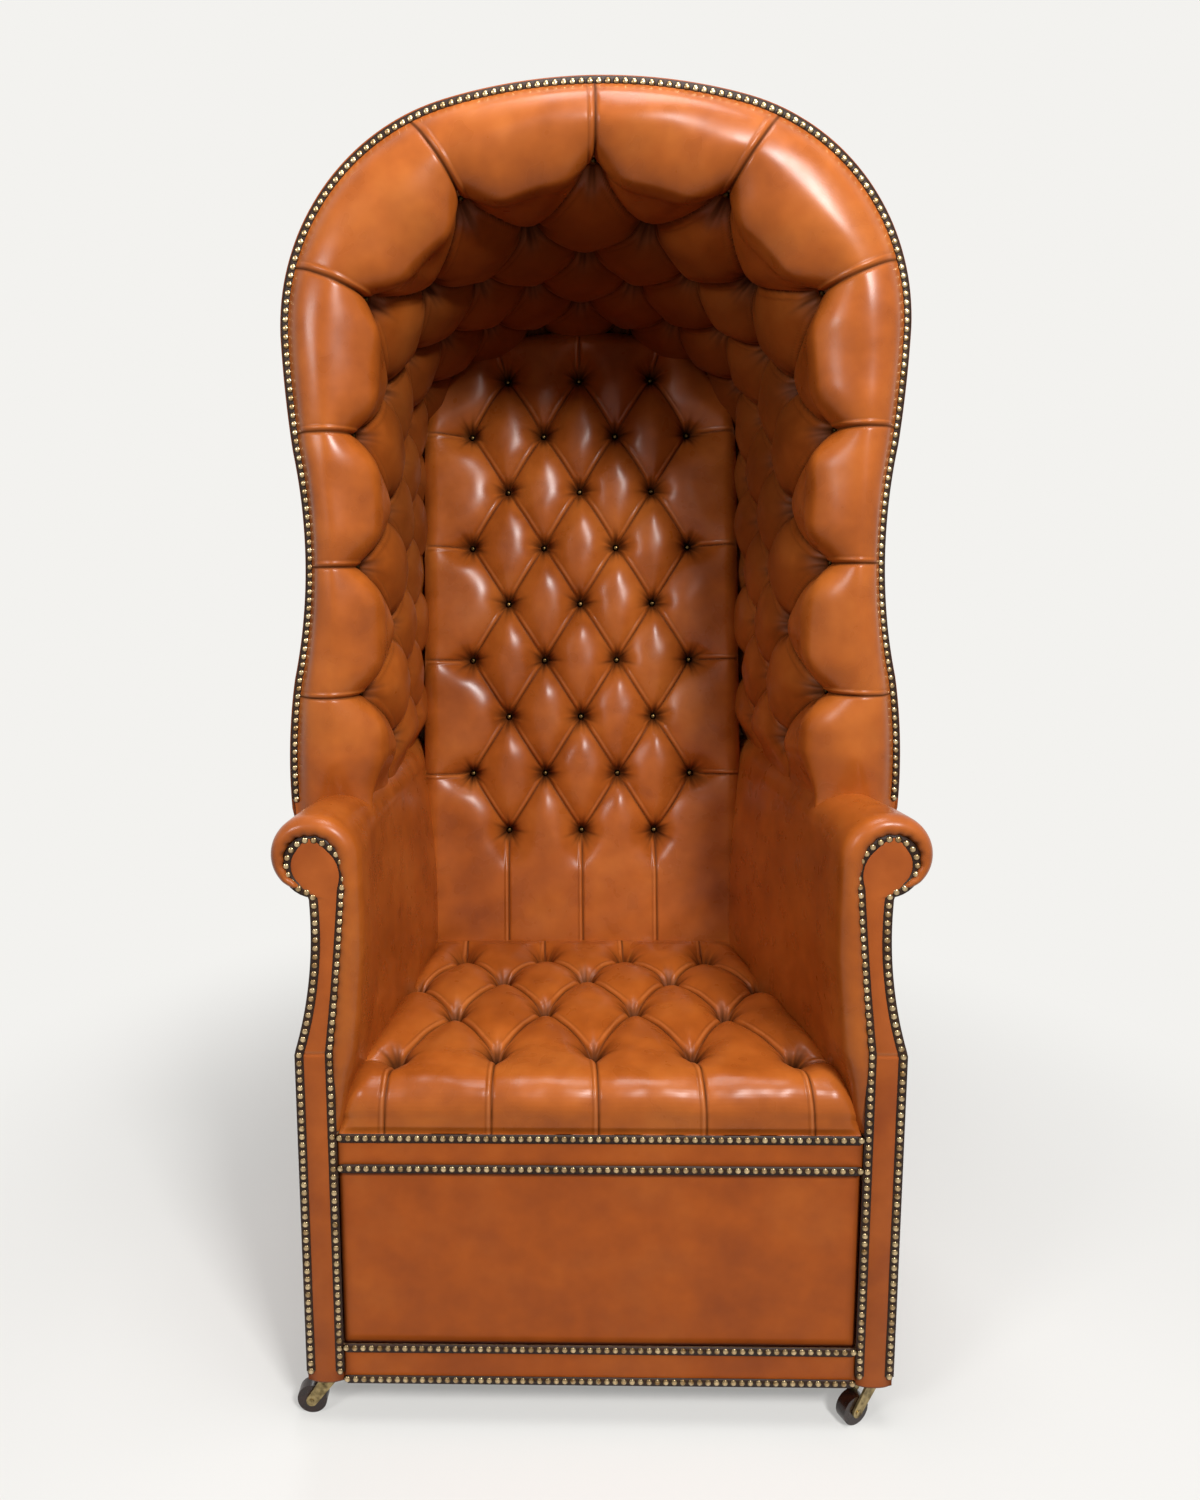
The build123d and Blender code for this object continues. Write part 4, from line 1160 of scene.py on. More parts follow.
@dataclass
class HoodShape:
    """Outline of the hood's front and the arch on which its lining is buttoned."""

    setback: float = 154.0
    bottom: float = 752.0
    low: tuple[Pair, Pair, Pair] = ((388.0, 700.0), (394.5, 820.0), (384.0, 930.0))
    waist: tuple[Pair, Pair] = ((364.5, 1085.0), (376.0, 1225.0))
    wide: Pair = (386.0, 1365.0)
    shoulder: float = 275.0
    top: float = 1655.0
    crown: float = 700.0
    back_width: float = 0.9
    back_height: float = 0.889
    arch_half: float = 296.0
    arch_foot: float = 745.0
    arch_corner: float = 205.0
    arch_spring: float = 1318.0
    arch_crown: float = 1561.0
    steps: int = 12
    slope: float = 0.143
    ring: float = 86.0
    ray: float = 1300.0

    def outline(self, share: float = 0.0) -> Points:
        """Outline from the right foot over the crown to the left, at a share of the way back.

        Args:
            share: Nought at the front, one at the back.

        Returns:
            Points (x, z) in millimetres.
        """
        bend_x = self.wide[0] - self.shoulder
        crown_z = self.top - self.crown
        angle = math.atan2(self.wide[1] - crown_z, bend_x)
        (bx, bz), (cx, cz), (tx, tz) = (
            (radius * math.cos(turn), radius * math.sin(turn))
            for radius, turn in (
                (self.shoulder, angle / 2),
                (self.crown, (angle + math.pi / 2) / 2),
                (self.crown, angle),
            )
        )
        tangent = (tx, crown_z + tz)
        near = self.waist[1]
        swell = ((near[0] + 2 * self.wide[0]) / 3, (near[1] + self.wide[1]) / 2)
        right = chain(
            arc(*self.low, 24),
            arc(self.low[2], *self.waist, 24),
            arc(near, swell, self.wide, 16),
            arc(self.wide, (bend_x + bx, self.wide[1] + bz), tangent, 30),
            arc(tangent, (cx, crown_z + cz), (0.0, self.top), 24),
        )
        x, z = np.concatenate([right, right[-2::-1] * (-1, 1)]).T
        width = 1 + (self.back_width - 1) * share
        height = 1 + (self.back_height - 1) * share
        return joined(x * width, self.bottom + (z - self.bottom) * height)

    def arch(self, step: Points, depth: Points, drop: Points) -> tuple[Points, Points]:
        """Arch point and its inward way, a number of half tufts from the right foot.

        The arch is an upright wall, a tight bend and a wide crown on each side.

        Args:
            step: Half tufts from the right foot, up to twice the number to the crown.
            depth: How far the point stands inside the buttons.
            drop: How far the arch is lowered at this ring.

        Returns:
            Points (x, z) and their inward unit vectors.
        """
        corner_x = self.arch_half - self.arch_corner
        climb = self.arch_crown - self.arch_spring
        excess = corner_x**2 + climb**2 - self.arch_corner**2
        radius = excess / (2 * (climb - self.arch_corner))
        centre = self.arch_crown - radius
        turn = math.atan2(self.arch_spring - centre, corner_x)
        left = step > self.steps
        near = np.where(left, 2 * self.steps - step, step)
        upright = self.arch_spring - drop - self.arch_foot
        bend = self.arch_corner * turn
        run = (upright + bend + radius * (math.pi / 2 - turn)) * near / self.steps
        past_wall, past_bend = run - upright, run - upright - bend
        first = np.clip(past_wall / self.arch_corner, 0, turn)
        second = np.clip(turn + past_bend / radius, turn, math.pi / 2)
        on_wall, on_bend = past_wall <= 0, past_bend <= 0
        angle = np.where(on_wall, 0.0, np.where(on_bend, first, second))
        size = np.where(on_bend, self.arch_corner, radius)
        x = np.where(on_bend, corner_x, 0.0) + size * np.cos(angle)
        z = np.where(on_bend, self.arch_spring, centre) + size * np.sin(angle)
        z = np.where(on_wall, self.arch_foot + drop + run, z) - drop
        mirror = np.where(left, -1.0, 1.0)
        way = joined(-np.cos(angle), -np.sin(angle))
        point = joined(x, z) + way * depth[:, None]
        point[:, 0] *= mirror
        way[:, 0] *= mirror
        return point, way

    def target(self, point: Points) -> Points:
        """Point of the front outline straight outwards from a point on the arch.

        Args:
            point: Points (x, z) on the arch.

        Returns:
            Points (x, z) in millimetres.
        """
        outline = self.outline()
        side_x, side_z = outline[outline[:, 0] >= 0].T
        high = side_z > self.ray
        up = side_z[high] - self.ray
        turns, spans = np.arctan2(up, side_x[high]), np.hypot(up, side_x[high])
        x, z = np.abs(point[:, 0]), point[:, 1]
        turn = np.arctan2(np.maximum(z - self.ray, 0), x)
        reach = np.interp(turn, turns, spans)
        above = z > self.ray
        out_x = np.where(above, reach * np.cos(turn), np.interp(z, side_z, side_x))
        out_z = np.where(above, self.ray + reach * np.sin(turn), z)
        return joined(np.sign(point[:, 0]) * out_x, out_z)


def hump(knots: Sequence[float], shares: Points) -> Points:
    """Smooth weights of knots along a run, for shares of it, by cubics through the knots.

    Args:
        knots: Places of the knots, as shares of the run.
        shares: Where the weights are wanted.

    Returns:
        A row of weights for each share, which add up to one.
    """
    count = len(knots)
    place = np.clip(np.interp(shares, knots, np.arange(count)), 0, count - 1 - 1e-9)
    low = np.floor(place).astype(int)
    t = place - low
    weights = np.zeros((len(shares), count))
    rows = np.arange(len(shares))
    parts = (
        -0.5 * t + t**2 - 0.5 * t**3,
        1 - 2.5 * t**2 + 1.5 * t**3,
        0.5 * t + 2 * t**2 - 1.5 * t**3,
        -0.5 * t**2 + 0.5 * t**3,
    )
    for ahead, amount in enumerate(parts, start=-1):
        np.add.at(weights, (rows, np.clip(low + ahead, 0, count - 1)), amount)
    return weights


@dataclass
class HoodInside:
    """One stuffed hide: the rolled front edge with its pleats and the buttoned lining behind."""

    hood: HoodShape
    stuffing: float = 38.0
    roll: float = 165.0
    rim_inset: float = 2.0
    pitch: float = 83.4
    rings: int = 7
    first_row: float = 174.0
    second_row: float = 290.0
    shift: float = 12.0
    shallow: float = 0.05
    sunk: float = -0.28
    nail_run: float = -158.5
    gather: float = 0.4
    end_drop: float = 450.0
    back_gap: float = 9.0
    knots: tuple[float, ...] = (0.0, 0.22, 0.42, 0.6, 0.8, 0.94, 1.0)
    low_reach: tuple[float, ...] = (0.0, 0.1, 0.24, 0.48, 0.74, 0.93, 1.0)
    low_depth: tuple[float, ...] = (174.0, 166.0, 159.0, 154.0, 150.0, 147.5, 148.0)
    high_reach: tuple[float, ...] = (0.0, -0.04, 0.08, 0.34, 0.7, 0.93, 1.0)
    high_depth: tuple[float, ...] = (174.0, 148.0, 128.0, 119.0, 126.0, 146.5, 148.0)

    @property
    def last(self) -> int:
        """Half tufts from the right foot to the left one."""
        return 2 * self.hood.steps

    def end(self, step: Points) -> Points:
        """How far the hide runs back from the first ring of buttons to the outside back.

        Args:
            step: Half tufts from the right foot.

        Returns:
            Distances in millimetres.
        """
        drop = np.full_like(step, self.hood.slope * self.end_drop)
        arch, _ = self.hood.arch(step, np.zeros_like(step), drop)
        return self.hood.ring + back_line(arch[:, 1], self.back_gap) - FRONT - self.second_row

    def spot(self, step: Points, run: Points, height: Points) -> Points:
        """Place of a point on the hide.

        Args:
            step: Half tufts from the right foot.
            run: Distance back from the first ring of buttons, below nought on the roll.
            height: Share of the stuffing's depth.

        Returns:
            The points in millimetres.
        """
        hood = self.hood
        back = np.maximum(run, 0)
        foot = np.minimum(step, self.last - step)
        least = 0.25 + 0.4 * smooth(-run / 40)
        height = height * (least + (1 - least) * smooth((foot - 0.25) / 0.85))
        eased = self.shift * (1 - smooth(back / hood.ring))
        inside, _ = hood.arch(step, self.stuffing * height - eased, hood.slope * back)
        rows = [self.first_row, self.second_row, self.second_row + 8 * hood.ring]
        y_inside = np.interp(back, [0, hood.ring, 9 * hood.ring], rows)
        front, inward = hood.arch(step, np.full_like(step, -self.shift), np.zeros_like(step))
        aim = hood.target(front)
        reach = np.linalg.norm(aim - front, axis=1)
        weights = hump(self.knots, np.clip(-run / self.roll, 0, 1))
        lines = (self.low_reach, self.high_reach, self.low_depth, self.high_depth)
        low, high, low_y, high_y = (weights @ np.array(line) for line in lines)
        share = (low + (high - low) * height) * (reach - self.rim_inset) / reach
        sink = self.stuffing * height * (1 - smooth(-run / (0.62 * self.roll)))
        rolled = front + (aim - front) * share[:, None] + inward * sink[:, None]
        y_roll = low_y * (1 - height) + high_y * height
        flat = np.where((run < 0)[:, None], rolled, inside)
        return joined(flat[:, 0], FRONT + np.where(run < 0, y_roll, y_inside), flat[:, 1])

    def pleats(self, keys: Sequence[tuple[int, int]]) -> list[Pleat]:
        """Pleats between the buttons, to the two feet and across the roll.

        Args:
            keys: Buttons as (half tufts from the right foot, ring).

        Returns:
            The pleats on the flat hide.
        """
        pitch, ring = self.pitch, self.hood.ring
        pleats = []
        for s, r in keys:
            start = (s * pitch, r * ring)
            for side in (-1, 1):
                if (s + side, r + 1) in keys:
                    end = ((s + side) * pitch, (r + 1) * ring)
                    pleats.append(Pleat(start, end, fold=side))
            if s in (1, self.last - 1):
                edge = -30.0 if s == 1 else self.last * pitch + 30
                pleats.append(Pleat(start, (edge, r * ring), tied=False))
        for s in range(2, self.last, 2):
            fold = 1 if s <= self.hood.steps else -1
            edge = (s * pitch, -self.roll - 10)
            pleats.append(Pleat((s * pitch, 0.0), edge, tied=False, fold=fold))
        return pleats

    def build(self, shop: Workshop) -> None:
        """Make the lining and note its buttons and the nails along its front edge.

        Args:
            shop: Finishes and heads that the pieces share.
        """
        pitch, ring = self.pitch, self.hood.ring
        places = ((s, r) for s in range(1, self.last) for r in range(self.rings))
        keys = [(s, r) for s, r in places if (s + r) % 2 == 0]
        tufting = Tufting(
            [(s * pitch, r * ring) for s, r in keys],
            self.pleats(keys),
            reach=52,
            tied_rise=0.5,
            loose_reach=105,
            groove=0.06,
            groove_width=2.4,
            line_width=1.9,
            dip_radius=12,
            seed=11,
        )

        def settle(u: Points, v: Points) -> tuple[Points, Points]:
            """Place the lining's grid from the rim back, with closer lines along the pleats.

            The first ring of buttons stays clear of the bow; painted shade darkens the hide under
            the roof and in the first ring's wells.

            Args:
                u: Shares round the arch, from the right foot.
                v: Shares back, from the rim.

            Returns:
                Points in millimetres and the tone there.
            """
            step = u * self.last
            step = step - self.gather / (2 * math.pi) * np.sin(2 * math.pi * step)
            run = -self.roll + v * (self.roll + self.end(step))
            height, tone = tufting.relief(step * pitch, run)
            floor = self.shallow - 0.45 * smooth((np.abs(run) - 6) / 40)
            height = np.maximum(height, floor)
            middle = smooth((np.minimum(step, self.last - step) - 2) / 3)
            # No painted highlight behind the roll, painted shade deeper in the hood and most under
            # the roof, and painted shade in the first ring's wells
            tone = np.where(run > 0, np.maximum(tone, 0), tone)
            tone += smooth((run - 10) / 90) * (0.12 + 0.3 * middle) * (1 - tone)
            aside = (step - 2 * np.round(step / 2)) * pitch
            tone = np.maximum(tone, 0.96 * bell(run + 2, 17) * bell(aside, 13))
            return self.spot(step, run, height), tone

        def settle_back(u: Points, v: Points) -> tuple[Points, Points]:
            """Place the sheet behind the lining.

            Args:
                u: Shares round the arch, from the right foot.
                v: Shares back, from the rim.

            Returns:
                Points in millimetres and the tone there.
            """
            step = u * self.last
            run = -self.roll + v * (self.roll + self.end(step))
            return self.spot(step, run, np.full_like(u, -0.5)) + (0, 2, 0), 0 * u

        lining = dressed_grid("hood_lining_hide", 880, 280, settle)
        back_with(lining, dressed_grid("hood_lining_back", 220, 70, settle_back))
        nodes = ["hood_edge_roll", "hood_lining_left", "hood_lining_right", "hood_lining_roof"]
        shop.fit(lining, Finish.STUFFED, nodes)
        for s, r in keys:
            if 1 < s < self.last - 1 and r * ring < self.end(np.array([float(s)]))[0] - 14:
                self._note_button(s, r, shop.buttons)
        self._note_nails(shop.nails)

    def _note_button(self, s: int, r: int, buttons: Heads) -> None:
        """Note one button, looking towards the middle of the hood.

        Args:
            s: Half tufts from the right foot.
            r: Ring, nought being the front one.
            buttons: Heads that it joins.
        """
        height = np.full(3, self.sunk if r else self.shallow)
        steps = s + np.array([0.0, 0.0, 0.1])
        runs = r * self.hood.ring + np.array([0.001, 9.0, 0.001])
        place, ahead, beside = self.spot(steps, runs, height)
        way = np.cross(ahead - place, beside - place)
        heart = np.array([0.0, -120.0, self.hood.ray - 200])
        buttons.add(place, way if way @ (heart - place) > 0 else -way)

    def _note_nails(self, nails: Heads) -> None:
        """Note the row of nails along the front edge, square to the hide.

        Args:
            nails: Heads that they join.
        """
        steps = np.linspace(0.35, self.last - 0.35, 900)
        edge, further = (
            self.spot(steps, np.full_like(steps, run), np.zeros_like(steps))
            for run in (self.nail_run, self.nail_run + 7.5)
        )
        normals = np.cross(further - edge, np.gradient(edge, axis=0))
        nails.row(edge, unit(normals * -np.sign(normals[:, 1:2])))


@dataclass
class HoodShell:
    """Hide stretched over the outside of the hood and over the outside back."""

    hood: HoodShape
    crown: float = 6.0
    nail_inset: float = 9.0

    def build(self, shop: Workshop) -> None:
        """Make the two hides and note the nails round them."""
        self._shell(shop)
        self._back(shop)

    def _shell(self, shop: Workshop) -> None:
        """Make the hide over the hood, which ends on the raked back.

        Args:
            shop: Finishes and heads that the pieces share.
        """
        hood = self.hood
        near, far = hood.outline(0.0), hood.outline(1.0)

        def settle(u: Points, v: Points) -> tuple[Points, Points]:
            """Place the shell's grid from the front edge back.

            Args:
                u: Shares round, from the right foot.
                v: Shares back, from the front edge.

            Returns:
                Points in millimetres and the tone there.
            """
            front, back = along(near, u), along(far, u)
            run = DEPTH - hood.setback
            share = v
            for _ in range(4):
                z = front[:, 1] + (back[:, 1] - front[:, 1]) * share
                share = v * (back_line(z) - FRONT - hood.setback) / run
            x, z = (front + (back - front) * share[:, None]).T
            x = x * (1 - 0.004 * bell(v, 0.012))
            y = FRONT + hood.setback + share * run
            wave = 0.42 * unevenness(u * 2600, y, 21, 160) * np.minimum(v * 8, 1)
            x = x + (wave - 0.6) * np.sign(x)
            # Painted shade along the front edge of the shell
            return joined(x, y, np.maximum(z, hood.bottom)), 0.3 * bell(v, 0.02)

        shell = dressed_grid("hood_hide", 240, 64, settle)
        thicken(shell, 6)
        shop.fit(shell, Finish.FLAT, ["hood_cover"])

    def _side(self) -> Points:
        """Right edge of the outside back, from the floor to the crown.

        Returns:
            Points (x, z) in millimetres.
        """
        hood = self.hood
        far = hood.outline(1.0)
        far = far[: len(far) // 2 + 1]
        near = hood.outline(0.0)[: len(far)]
        shares = (back_line(far[:, 1]) - FRONT - hood.setback) / (DEPTH - hood.setback)
        right = near + (far - near) * shares[:, None]
        right = right[right[:, 1] > hood.bottom]
        half = outer_half(FRONT + BASE_DEPTH)
        foot = [(half, BASE_BOTTOM), (half, hood.bottom - 1), (right[0, 0], hood.bottom + 1)]
        return np.concatenate([foot, right])

    def _back(self, shop: Workshop) -> None:
        """Make the outside back, upright below and raked above, with its nails.

        Args:
            shop: Finishes and heads that the pieces share.
        """
        side = self._side()

        def swell(share: Points) -> Points:
            """How much of the stuffing is left at a share of the half-width."""
            return np.maximum(1 - np.abs(share) ** 12, 0)

        def settle(u: Points, v: Points) -> tuple[Points, Points]:
            """Place the back's grid from the floor up.

            Args:
                u: Shares across, from the left.
                v: Shares up, from the floor.

            Returns:
                Points in millimetres and the tone there.
            """
            half, z = along(side, v).T
            across = 2 * u - 1
            x = across * (half - 0.6)
            rim = swell(across)
            y = back_line(z) + self.crown * rim**0.5 + 1.2 * unevenness(x, z, 31, 210) * rim
            # Painted shade along the side edges of the outside back
            tone = 0.5 * bell((1 - np.abs(across)) * half, 14)
            return joined(x, np.minimum(y, -FRONT), z), tone

        back = dressed_grid("outside_back_hide", 70, 160, settle, turned=True)
        thicken(back, 4)
        shop.fit(back, Finish.FLAT, ["outside_back"])
        border = inset(side, self.nail_inset)
        border = np.concatenate([border, border[-2::-1] * (-1, 1)])
        border[:, 1] = np.maximum(border[:, 1], BASE_BOTTOM + 6)
        x, z = along(border, np.linspace(0, 1, 900)).T
        height = self.crown * swell(x / np.interp(z, side[:, 1], side[:, 0])) ** 0.5
        shop.nails.row(joined(x, back_line(z) + height, z), (0.0, 1.0, -0.1))


@dataclass
class Arms:
    """Stuffed arms with an outward scroll, their nailed facings and the side panels under them.

    Cover, swell and forward are given at places round the section, which runs from the seat
    outwards, up, over the scroll and down the inside: how far the front lies back under the
    facing, how far the arm swells beside it and how far its ridge stands forward.
    """

    scroll: Pair = (341.0, 741.0)
    radius: float = 43.0
    waist: Pair = (343.0, 640.0)
    inner: Pair = (294.0, 735.0)
    shoulder: Pair = (306.0, 769.0)
    belly: Pair = (299.0, 600.0)
    seat: float = 318.0
    low_taper: float = 113.0
    top_taper: float = 40.0
    length: float = 612.0
    cover: Knots = (
        (0, 60, 72, 95, 123, 135, 147, 154, 172, 197, 219),
        (3, 3, 9, 15, 19, 16, 12.5, 7, 11.5, 15, 5),
    )
    swell: Knots = (
        (0, 67, 80, 123, 135, 147, 172, 197, 206, 219),
        (0, 0, 4, 5, 9, 14, 17, 13, 6, 1),
    )
    forward: Knots = ((0, 66, 74, 200, 210, 219), (0, 0, 1, 1, 0.4, 0))

    def section(self, y: float) -> Points:
        """Closed outline of the right arm at a distance from the front.

        Args:
            y: Distance from the front.

        Returns:
            Points (x, z), from the seat outwards, up, over the scroll and down the inside.
        """
        share = y / DEPTH
        outer = (HALF_WIDTH - outer_half(-FRONT)) * share
        low, top = self.low_taper * share, self.top_taper * share
        cx, cz = self.scroll[0] - outer, self.scroll[1]
        throat = (cx + 4, cz - math.sqrt(self.radius**2 - 16))
        shoulder = (self.shoulder[0] - top, self.shoulder[1])
        inner = (self.inner[0] - top, self.inner[1])
        belly = (self.belly[0] - (top + low) / 2, self.belly[1])
        base, kink = SEAT_RAIL_TOP + 0.5, KINK + 0.5
        seat = (self.seat - low, base)
        panel = HALF_WIDTH - 6.5 - outer
        corner = (HALF_WIDTH - outer - 0.3, kink)
        return chain(
            np.linspace(seat, (panel, base), 12),
            np.linspace((panel, base), (panel, kink), 14),
            np.linspace((panel, kink), corner, 4),
            arc(corner, (self.waist[0] - outer, self.waist[1]), throat, 40),
            arc(throat, (cx + self.radius, cz), (cx, cz + self.radius), 56),
            arc((cx, cz + self.radius), shoulder, inner, 24),
            arc(inner, belly, seat, 72),
        )

    def build(self, shop: Workshop) -> None:
        """Make both arms with facings and side panels, and note their nails.

        Args:
            shop: Finishes and heads that the pieces share.
        """
        for side, hand in ((1.0, "right"), (-1.0, "left")):
            self._pad(side, hand, shop)
            self._facing(side, hand, shop)
            self._panel(side, hand, shop)

    def _pad(self, side: float, hand: str, shop: Workshop) -> None:
        """Make one stuffed arm, swollen into a rounded ridge round its facing.

        Args:
            side: One for the right arm, minus one for the left.
            hand: Word for that side in the names.
            shop: Finishes and heads that the pieces share.
        """
        turn = np.linspace(0, 1, 18)
        back = np.linspace(20, self.length, 92)
        cuts = np.concatenate([4.3 + 10 * turn**2, back])
        loops = np.stack([self.section(y) for y in cuts])
        depth, count = loops.shape[:2]
        knots = (self.cover, self.swell, self.forward)
        cover, swell, forward = (np.interp(np.arange(count), *line) for line in knots)
        rolled = cover - (cover + swell) * (1 - np.cos(math.pi * turn[:, None])) / 2
        eased = -swell * (1 - smooth((back[:, None] - 18) / 130))
        insets = np.concatenate([rolled, eased])
        fronts = np.concatenate([-11 * forward * np.sin(math.pi * turn[:, None]), 0 * eased])
        ways = unit(np.gradient(loops[0], axis=0))
        ways = sum(np.roll(ways, shift, axis=0) for shift in range(-3, 4)) / 7
        normals = joined(ways[:, 1], -ways[:, 0])

        def settle(u: Points, v: Points) -> tuple[Points, Points]:
            """Place the arm's grid, round its section and from the front back.

            Args:
                u: Shares round the section.
                v: Shares back, from the front.

            Returns:
                Points in millimetres and the tone there.
            """
            column = np.rint(u * (count - 1)).astype(int)
            row = np.rint(v * (depth - 1)).astype(int)
            flat = loops[row, column]
            soft = smooth((flat[:, 1] - KINK + 8) / 24)
            y = cuts[row] + fronts[row, column]
            end = back_line(flat[:, 1], 1.0) - FRONT
            y = np.where(y > 40, 40 + (y - 40) * (end - 40) / (self.length - 40), y)
            run = lengths(loops[-1])[column]
            pucker = 0.8 * np.sin(run * 2 * math.pi / 19) * bell(row - 4, 4)
            wave = (0.9 * unevenness(run, y, 41, 130) * smooth(row / 30) + pucker) * soft
            x, z = (flat + normals[column] * (wave - insets[row, column])[:, None]).T
            # Painted shade on the front rows of the arm's hide, where it rolls in under the facing
            return joined(side * x, FRONT + y, z), 0.6 * bell(row, 4)

        pad = dressed_grid(f"arm_hide_{hand}", count - 1, depth - 1, settle)
        close_ends(pad)
        shop.fit(pad, Finish.STUFFED, [f"arm_pad_{hand}"])

    def facing_outline(self) -> Points:
        """Right facing from the foot of its inner edge up over the scroll and down outside.

        Returns:
            Points (x, z) in millimetres.
        """
        inner = HALF_WIDTH - FACING_WIDTH
        return chain(
            np.linspace((inner, BASE_BOTTOM), (inner, KINK), 30),
            arc((inner, KINK), (306.0, 612.0), (298.0, 702.0), 24),
            arc((298.0, 702.0), (308.0, 752.0), (339.0, 767.0), 18),
            arc((339.0, 767.0), (371.0, 738.0), (341.0, 693.0), 26),
            arc((341.0, 693.0), (345.0, 585.0), (HALF_WIDTH, KINK), 24),
            np.linspace((HALF_WIDTH, KINK), (HALF_WIDTH, BASE_BOTTOM), 30),
        )

    def _facing(self, side: float, hand: str, shop: Workshop) -> None:
        """Make one lightly padded facing with its seam at the kink, and note its nails.

        Args:
            side: One for the right arm, minus one for the left.
            hand: Word for that side in the names.
            shop: Finishes and heads that the pieces share.
        """
        outline = self.facing_outline()
        top = int(outline[:, 1].argmax())
        rise, fall = outline[:top + 1], outline[top:][::-1]

        def settle(u: Points, v: Points) -> tuple[Points, Points]:
            """Place the facing's grid from its inner edge outwards and from the foot up.

            Args:
                u: Shares across, from the inner edge.
                v: Shares up, from the foot.

            Returns:
                Points in millimetres and the tone there.
            """
            inner, outer = along(rise, v), along(fall, v)
            x, z = (inner + (outer - inner) * u[:, None]).T
            rim = np.minimum(u, 1 - u) * np.linalg.norm(outer - inner, axis=1)
            crown = 1 - bell(rim, 9, 1.6)
            seam = bell(z - KINK, 1.6)
            y = FRONT + 3.2 - 4.6 * crown + 1.2 * seam - 0.4 * unevenness(x, z, 71, 90) * crown
            # Painted shade with some dirt along the edges by the nails, and a painted highlight
            # just above the seam
            tone = 0.5 * bell(rim, 7) - 0.35 * bell(z - KINK - 2.4, 1.6)
            return joined(side * x, y, z), tone

        facing = dressed_grid(f"facing_hide_{hand}", 24, 420, settle)
        close_behind(facing, (0, FRONT + 4.0, 0), (0, -1, 0))
        shop.fit(facing, Finish.FACING, [f"arm_facing_{hand}"])
        path = inset(outline, -4.6)
        x, z = path[path[:, 1] > BASE_BOTTOM + 5].T
        shop.nails.row(joined(side * x, np.full_like(x, FRONT + 1.0), z), (0.0, -1.0, 0.0))

    def _panel(self, side: float, hand: str, shop: Workshop) -> None:
        """Make one side panel and note the nails along its edges.

        Args:
            side: One for the right arm, minus one for the left.
            hand: Word for that side in the names.
            shop: Finishes and heads that the pieces share.
        """
        y0, y1 = FRONT + 4.3, FRONT + BASE_DEPTH - 0.3
        length, height, edge = y1 - y0, KINK - BASE_BOTTOM, 6

        def settle(u: Points, v: Points) -> tuple[Points, Points]:
            """Place the panel's grid from the front back and from the foot up.

            Args:
                u: Shares back, from the front.
                v: Shares up, from the foot.

            Returns:
                Points in millimetres and the tone there.
            """
            y, z = y0 + u * length, BASE_BOTTOM + v * height
            rim = np.minimum(np.minimum(u, 1 - u) * length, np.minimum(v, 1 - v) * height)
            crown = 1 - bell(rim, 5, 1)
            x = outer_half(y) - 2.2 + 2.2 * crown + 0.5 * unevenness(y, z, 51, 190) * crown
            # Painted shade along the edges of the panel
            return joined(side * x, y, z), 0.5 * bell(rim, 12)

        panel = dressed_grid(f"side_hide_{hand}", 90, 64, settle, turned=side < 0)
        thicken(panel, 4)
        shop.fit(panel, Finish.FLAT, [f"side_panel_{hand}"])
        high, low = KINK - edge, BASE_BOTTOM + edge
        ring = [(y0 + edge, high), (y0 + edge, low), (y1 - edge, low), (y1 - edge, high)]
        for start, end in zip(ring, [*ring[1:], ring[0]]):
            y, z = np.linspace(start, end, 40).T
            shop.nails.row(joined(side * outer_half(y), y, z), (side, 0.0, 0.0))


@dataclass
class FrontPanels:
    """Front of the base: a border under the seat, a sunk field and a plinth strip."""

    half: float = 318.7
    sink: float = 5.0
    nail_rows: tuple[float, ...] = (389.5, 349.8, 108.5, 65.5)

    def build(self, shop: Workshop) -> None:
        """Make the three hides and note the rows of nails.

        Args:
            shop: Finishes and heads that the pieces share.
        """
        strips = (
            ("front_border_hide", "front_top_border", FIELD_TOP + 0.3, SEAT_RAIL_TOP, 0.0),
            ("front_field_hide", "front_panel", PLINTH_TOP + 0.3, FIELD_TOP, self.sink),
            ("front_plinth_hide", "front_plinth_border", BASE_BOTTOM, PLINTH_TOP, 0.0),
        )
        for name, node, low, high, sink in strips:
            strip = self._strip(name, low, high, sink)
            shop.fit(strip, Finish.FLAT, [node])
        end, front = self.half - 4, FRONT - 0.2
        for z in self.nail_rows:
            line = np.linspace((-end, front, z), (end, front, z), 30)
            shop.nails.row(line, (0.0, -1.0, 0.0))

    def _strip(self, name: str, low: float, high: float, sink: float) -> bpy.types.Object:
        """Make one strip with soft edges and a slight crown.

        Args:
            name: Name of the piece.
            low: Height of its lower edge.
            high: Height of its upper edge.
            sink: How far it lies behind the front of the base.

        Returns:
            The new piece.
        """

        def settle(u: Points, v: Points) -> tuple[Points, Points]:
            """Place the strip's grid across and up.

            Args:
                u: Shares across, from the left.
                v: Shares up, from the lower edge.

            Returns:
                Points in millimetres and the tone there.
            """
            x, z = (2 * u - 1) * self.half, low + v * (high - low)
            rim = np.minimum(self.half - np.abs(x), np.minimum(v, 1 - v) * (high - low))
            crown = 1 - bell(rim, 3, 1)
            y = FRONT + sink + 2 - 2 * crown - 0.4 * unevenness(x, z, 61, 150) * crown
            # Painted shade along the edges of the strip
            return joined(x, y, z), 0.45 * bell(rim, 7)

        strip = dressed_grid(name, 140, 36, settle)
        thicken(strip, 3.5)
        return strip


